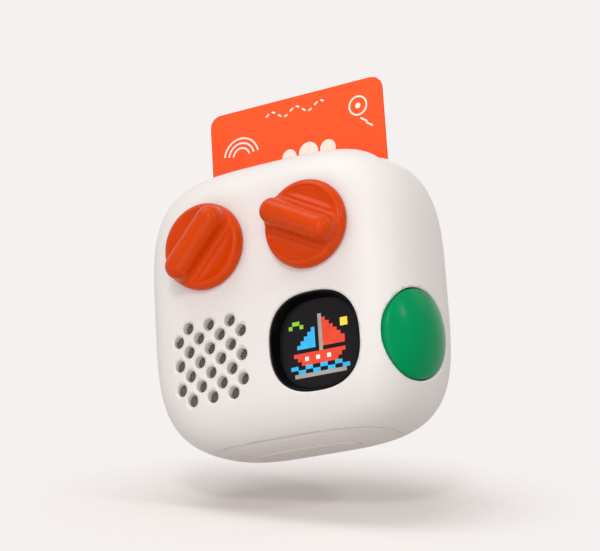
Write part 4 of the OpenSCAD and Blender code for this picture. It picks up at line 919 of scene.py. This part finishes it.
# A flat tile with a small chamfer, lying on the window
def pixelTile(cx, cz):
    half, low, proud = pixelPicture["tile"] / 2, windowLow[1], pixelPicture["proud"]
    ring = np.array([[-1, -1], [1, -1], [1, 1], [-1, 1]])
    rows = [np.stack([cx + s * half * ring[:, 0], 0 * ring[:, 0] + low - h, cz + s * half * ring[:, 1]], -1)
            for s, h in ((0, -0.01), (1, -0.01), (1, 0.025), (0.99, proud), (0, proud))]
    return ringSkin(np.stack(rows))


def makePicture():
    rows, pitch = pixelPicture["rows"], pixelPicture["pitch"]
    span = (len(rows) - 1) / 2
    for letter, tone in pixelPicture["colours"].items():
        tiles = [pixelTile(display["x"] + (i - span) * pitch, display["z"] + (span - k) * pitch)
                 for k, row in enumerate(rows) for i, mark in enumerate(row) if mark == letter]
        piece = makeGroup("pixels_" + letter, tiles)
        smoothShade(piece, 20.0)
        finishPiece(piece, "casing", "window")
        piece.data.materials[0] = pixelFinish("pixel_" + letter, colour(*tone))


makeCup()
makePicture()
print("stage: display made")

# ---- story card ----

cardLow, cardHigh = lowest("story_card"), highest("story_card")
card = {"halfWidth": 27.0, "corner": 3.2, "edge": 0.12, "low": cardLow[2], "high": cardHigh[2],
        "front": cardLow[1], "back": cardHigh[1]}


# Rings of a rounded box from the front face to the back one: each edge is broken by two small slopes
def makeCard():
    middle, halfL = (card["low"] + card["high"]) / 2, (card["high"] - card["low"]) / 2
    e, front, back = card["edge"], card["front"], card["back"]

    def ring(inset, y):
        flat = roundedBox(0, middle, card["halfWidth"] - inset, halfL - inset, card["corner"] - inset, 160)
        return np.stack([flat[:, 0], 0 * flat[:, 0] + y, flat[:, 1]], -1)

    rows = [ring(0, front) * 0 + [0, front, middle], ring(e, front), ring(e * 0.3, front + e * 0.3),
            ring(0, front + e), ring(0, back - e), ring(e * 0.3, back - e * 0.3), ring(e, back),
            ring(0, back) * 0 + [0, back, middle]]
    piece = makeObject("orange_card", *ringSkin(np.stack(rows)))
    smoothShade(piece, 30.0)
    finishPiece(piece, "story_card", "card_orange", "story_card")


cardPrint = {
    "width": 0.5, "proud": 0.03, "sink": 0.02,
    "rainbow": {"place": (-17.5, 86.0), "radii": (2.6, 4.0, 5.4)},
    "wave": {"place": (-9.0, 95.6), "length": 19.0, "height": 1.0},
    "ring": {"place": (19.5, 92.4), "radius": 2.6, "spot": 0.8},
    "dashes": {"from": (21.6, 87.2), "to": (23.6, 85.8), "steps": (0.0, -1.6)},
    "cloud": {"height": 82.6, "spots": ((-2.4, 2.2), (3.6, 3.0), (9.6, 2.4))},
}


# A flat printed line along a path of (x, z) points on the card's face, with ends as poles
def printedLine(path):
    half = cardPrint["width"] / 2
    along = np.gradient(path, axis=0)
    along /= np.linalg.norm(along, axis=1)[:, None]
    side = np.stack([-along[:, 1], along[:, 0]], -1)
    near, far = card["front"] - cardPrint["proud"], card["front"] + cardPrint["sink"]
    rings = np.stack([np.column_stack([path + s * half * side, 0 * path[:, 0] + y])[:, [0, 2, 1]]
                      for s, y in ((-1, far), (1, far), (1, near), (-1, near))], 1)
    ends = [rings[:1].mean(1, keepdims=True).repeat(4, 1), rings[-1:].mean(1, keepdims=True).repeat(4, 1)]
    return ringSkin(np.concatenate([ends[0], rings, ends[1]]))


# A filled printed shape: its outline shrinks to a pole on each face
def printedSpot(outline):
    middle = outline.mean(0)
    near, far = card["front"] - cardPrint["proud"], card["front"] + cardPrint["sink"]
    rows = [np.column_stack([middle + s * (outline - middle), 0 * outline[:, 0] + y])[:, [0, 2, 1]]
            for s, y in ((0, far), (1, far), (1, near), (0, near))]
    return ringSkin(np.stack(rows))


def arcPath(cx, cz, r, start, end, count=40):
    turn = np.radians(np.linspace(start, end, count))
    return np.stack([cx + r * np.cos(turn), cz + r * np.sin(turn)], -1)


# Plain motifs: a small rainbow, a row of short dashes along a wave, a ring with a spot, and a bank of cloud
def makePrint():
    rainbow, wave, dashes = cardPrint["rainbow"], cardPrint["wave"], cardPrint["dashes"]
    ring, cloud = cardPrint["ring"], cardPrint["cloud"]
    skins = [printedLine(arcPath(*rainbow["place"], r, 10, 170)) for r in rainbow["radii"]]
    t = np.linspace(0, 1, 200)
    line = np.stack([wave["place"][0] + wave["length"] * t,
                     wave["place"][1] + wave["height"] * np.sin(5 * np.pi * t)], -1)
    skins += [printedLine(line[i:i + 12]) for i in range(0, 190, 20)]
    skins.append(printedLine(arcPath(*ring["place"], ring["radius"], 0, 359, 60)))
    skins.append(printedSpot(arcPath(*ring["place"], ring["spot"], 0, 345, 24)))
    dash = np.array([dashes["from"], dashes["to"]])
    skins += [printedLine(dash + [k, -k]) for k in dashes["steps"]]
    skins += [printedSpot(arcPath(x, cloud["height"], r, 0, 345, 36)) for x, r in cloud["spots"]]
    piece = makeGroup("card_print", skins)
    finishPiece(piece, "story_card", "card_orange")
    piece.data.materials[0] = finishes["print"]


makeCard()
makePrint()
print("stage: card made")

# ---- floor, backdrop and light ----

backdrop = {"colour": colour(245, 241, 240), "floorDrop": 0.0516, "tilt": 5.0, "size": 0.2,
            "fadeStart": 0.03, "fadeEnd": 0.085}
lighting = {
    "ambient": 0.44, "ambientColour": (1.0, 0.93, 0.89, 1.0),
    "lamps": [           # name, then right, up and back towards the camera in metres, then size and power
        ("key", (0.558, 0.495, 0.495), 0.09, 0.9),
        ("front", (-0.093, 0.140, 0.884), 0.50, 1.4),
        ("frontHigh", (-0.092, 0.507, 0.738), 0.14, 1.5),
        ("frontLow", (-0.091, -0.364, 0.818), 0.50, 1.3),
        ("top", (-0.055, 0.894, 0.092), 0.40, 1.0),
        ("topLeft", (-0.366, 0.822, 0.0), 0.40, 1.8),
        ("lowLeft", (-0.763, -0.286, 0.382), 0.50, 0.9),
        ("rearRight", (0.659, 0.549, -0.274), 0.40, 0.5),
    ],
}
middlePoint = np.array([0.0, 0.0, 0.039])


def makeWorld():
    world = bpy.data.worlds.new("paleWorld")
    bpy.context.scene.world = world
    world.use_nodes = True
    net, links = world.node_tree.nodes, world.node_tree.links
    light = net["Background"]
    fill(light, {"Color": lighting["ambientColour"], "Strength": lighting["ambient"]})
    seen = fill(net.new("ShaderNodeBackground"), {"Color": backdrop["colour"]})
    path = net.new("ShaderNodeLightPath")
    shown = path.outputs["Is Camera Ray"]
    for ray in ("Is Glossy Ray", "Is Transmission Ray"):
        either = net.new("ShaderNodeMath")
        either.operation = "MAXIMUM"
        links.new(shown, either.inputs[0])
        links.new(path.outputs[ray], either.inputs[1])
        shown = either.outputs["Value"]
    mix = net.new("ShaderNodeMixShader")
    links.new(shown, mix.inputs["Fac"])
    links.new(light.outputs["Background"], mix.inputs[1])
    links.new(seen.outputs["Background"], mix.inputs[2])
    links.new(mix.outputs["Shader"], net["World Output"].inputs["Surface"])


# The floor lies under the player, level in the photographed view, and fades out into the backdrop
def makeFloor():
    a = np.radians(backdrop["tilt"])
    up = np.cos(a) * viewUp + np.sin(a) * viewBack
    across = viewRight - viewRight.dot(up) * up
    across /= np.linalg.norm(across)
    away = np.cross(up, across)
    middle = middlePoint - backdrop["floorDrop"] * up
    half = backdrop["size"] / 2
    corners = [(middle + half * (u * across + v * away)) / mm
               for u, v in ((-1, -1), (1, -1), (1, 1), (-1, 1))]
    floor = makeObject("floor", corners, [[0, 1, 2, 3]])
    material, net, links, shader = startMaterial("paleFloor")
    fill(shader, {"Base Color": backdrop["colour"], "Roughness": 0.9, "Specular IOR Level": 0.0})
    reach = fill(net.new("ShaderNodeVectorMath"), {1: middle.tolist()})
    reach.operation = "DISTANCE"
    links.new(objectPlace(net), reach.inputs[0])
    fade = fill(net.new("ShaderNodeMapRange"),
                {"From Min": backdrop["fadeStart"], "From Max": backdrop["fadeEnd"]})
    fade.interpolation_type = "SMOOTHSTEP"
    links.new(reach.outputs["Value"], fade.inputs["Value"])
    clear = net.new("ShaderNodeBsdfTransparent")
    mix = net.new("ShaderNodeMixShader")
    links.new(fade.outputs["Result"], mix.inputs["Fac"])
    links.new(shader.outputs["BSDF"], mix.inputs[1])
    links.new(clear.outputs["BSDF"], mix.inputs[2])
    links.new(mix.outputs["Shader"], net["Material Output"].inputs["Surface"])
    floor.data.materials.append(material)
    floor.visible_diffuse = False                           # no light comes back up from it


def makeLamps():
    for name, (right, up, back), size, power in lighting["lamps"]:
        data = bpy.data.lights.new(name, "AREA")
        data.size, data.energy = size, power
        place = middlePoint + right * viewRight + up * viewUp + back * viewBack
        aim = Vector(place - middlePoint).to_track_quat("Z", "Y").to_matrix().to_4x4()
        addObject(name, data).matrix_world = Matrix.Translation(place) @ aim


makeWorld()
makeFloor()
makeLamps()
bpy.context.scene.view_settings.view_transform = "Standard"
print("stage: floor, backdrop and light made")
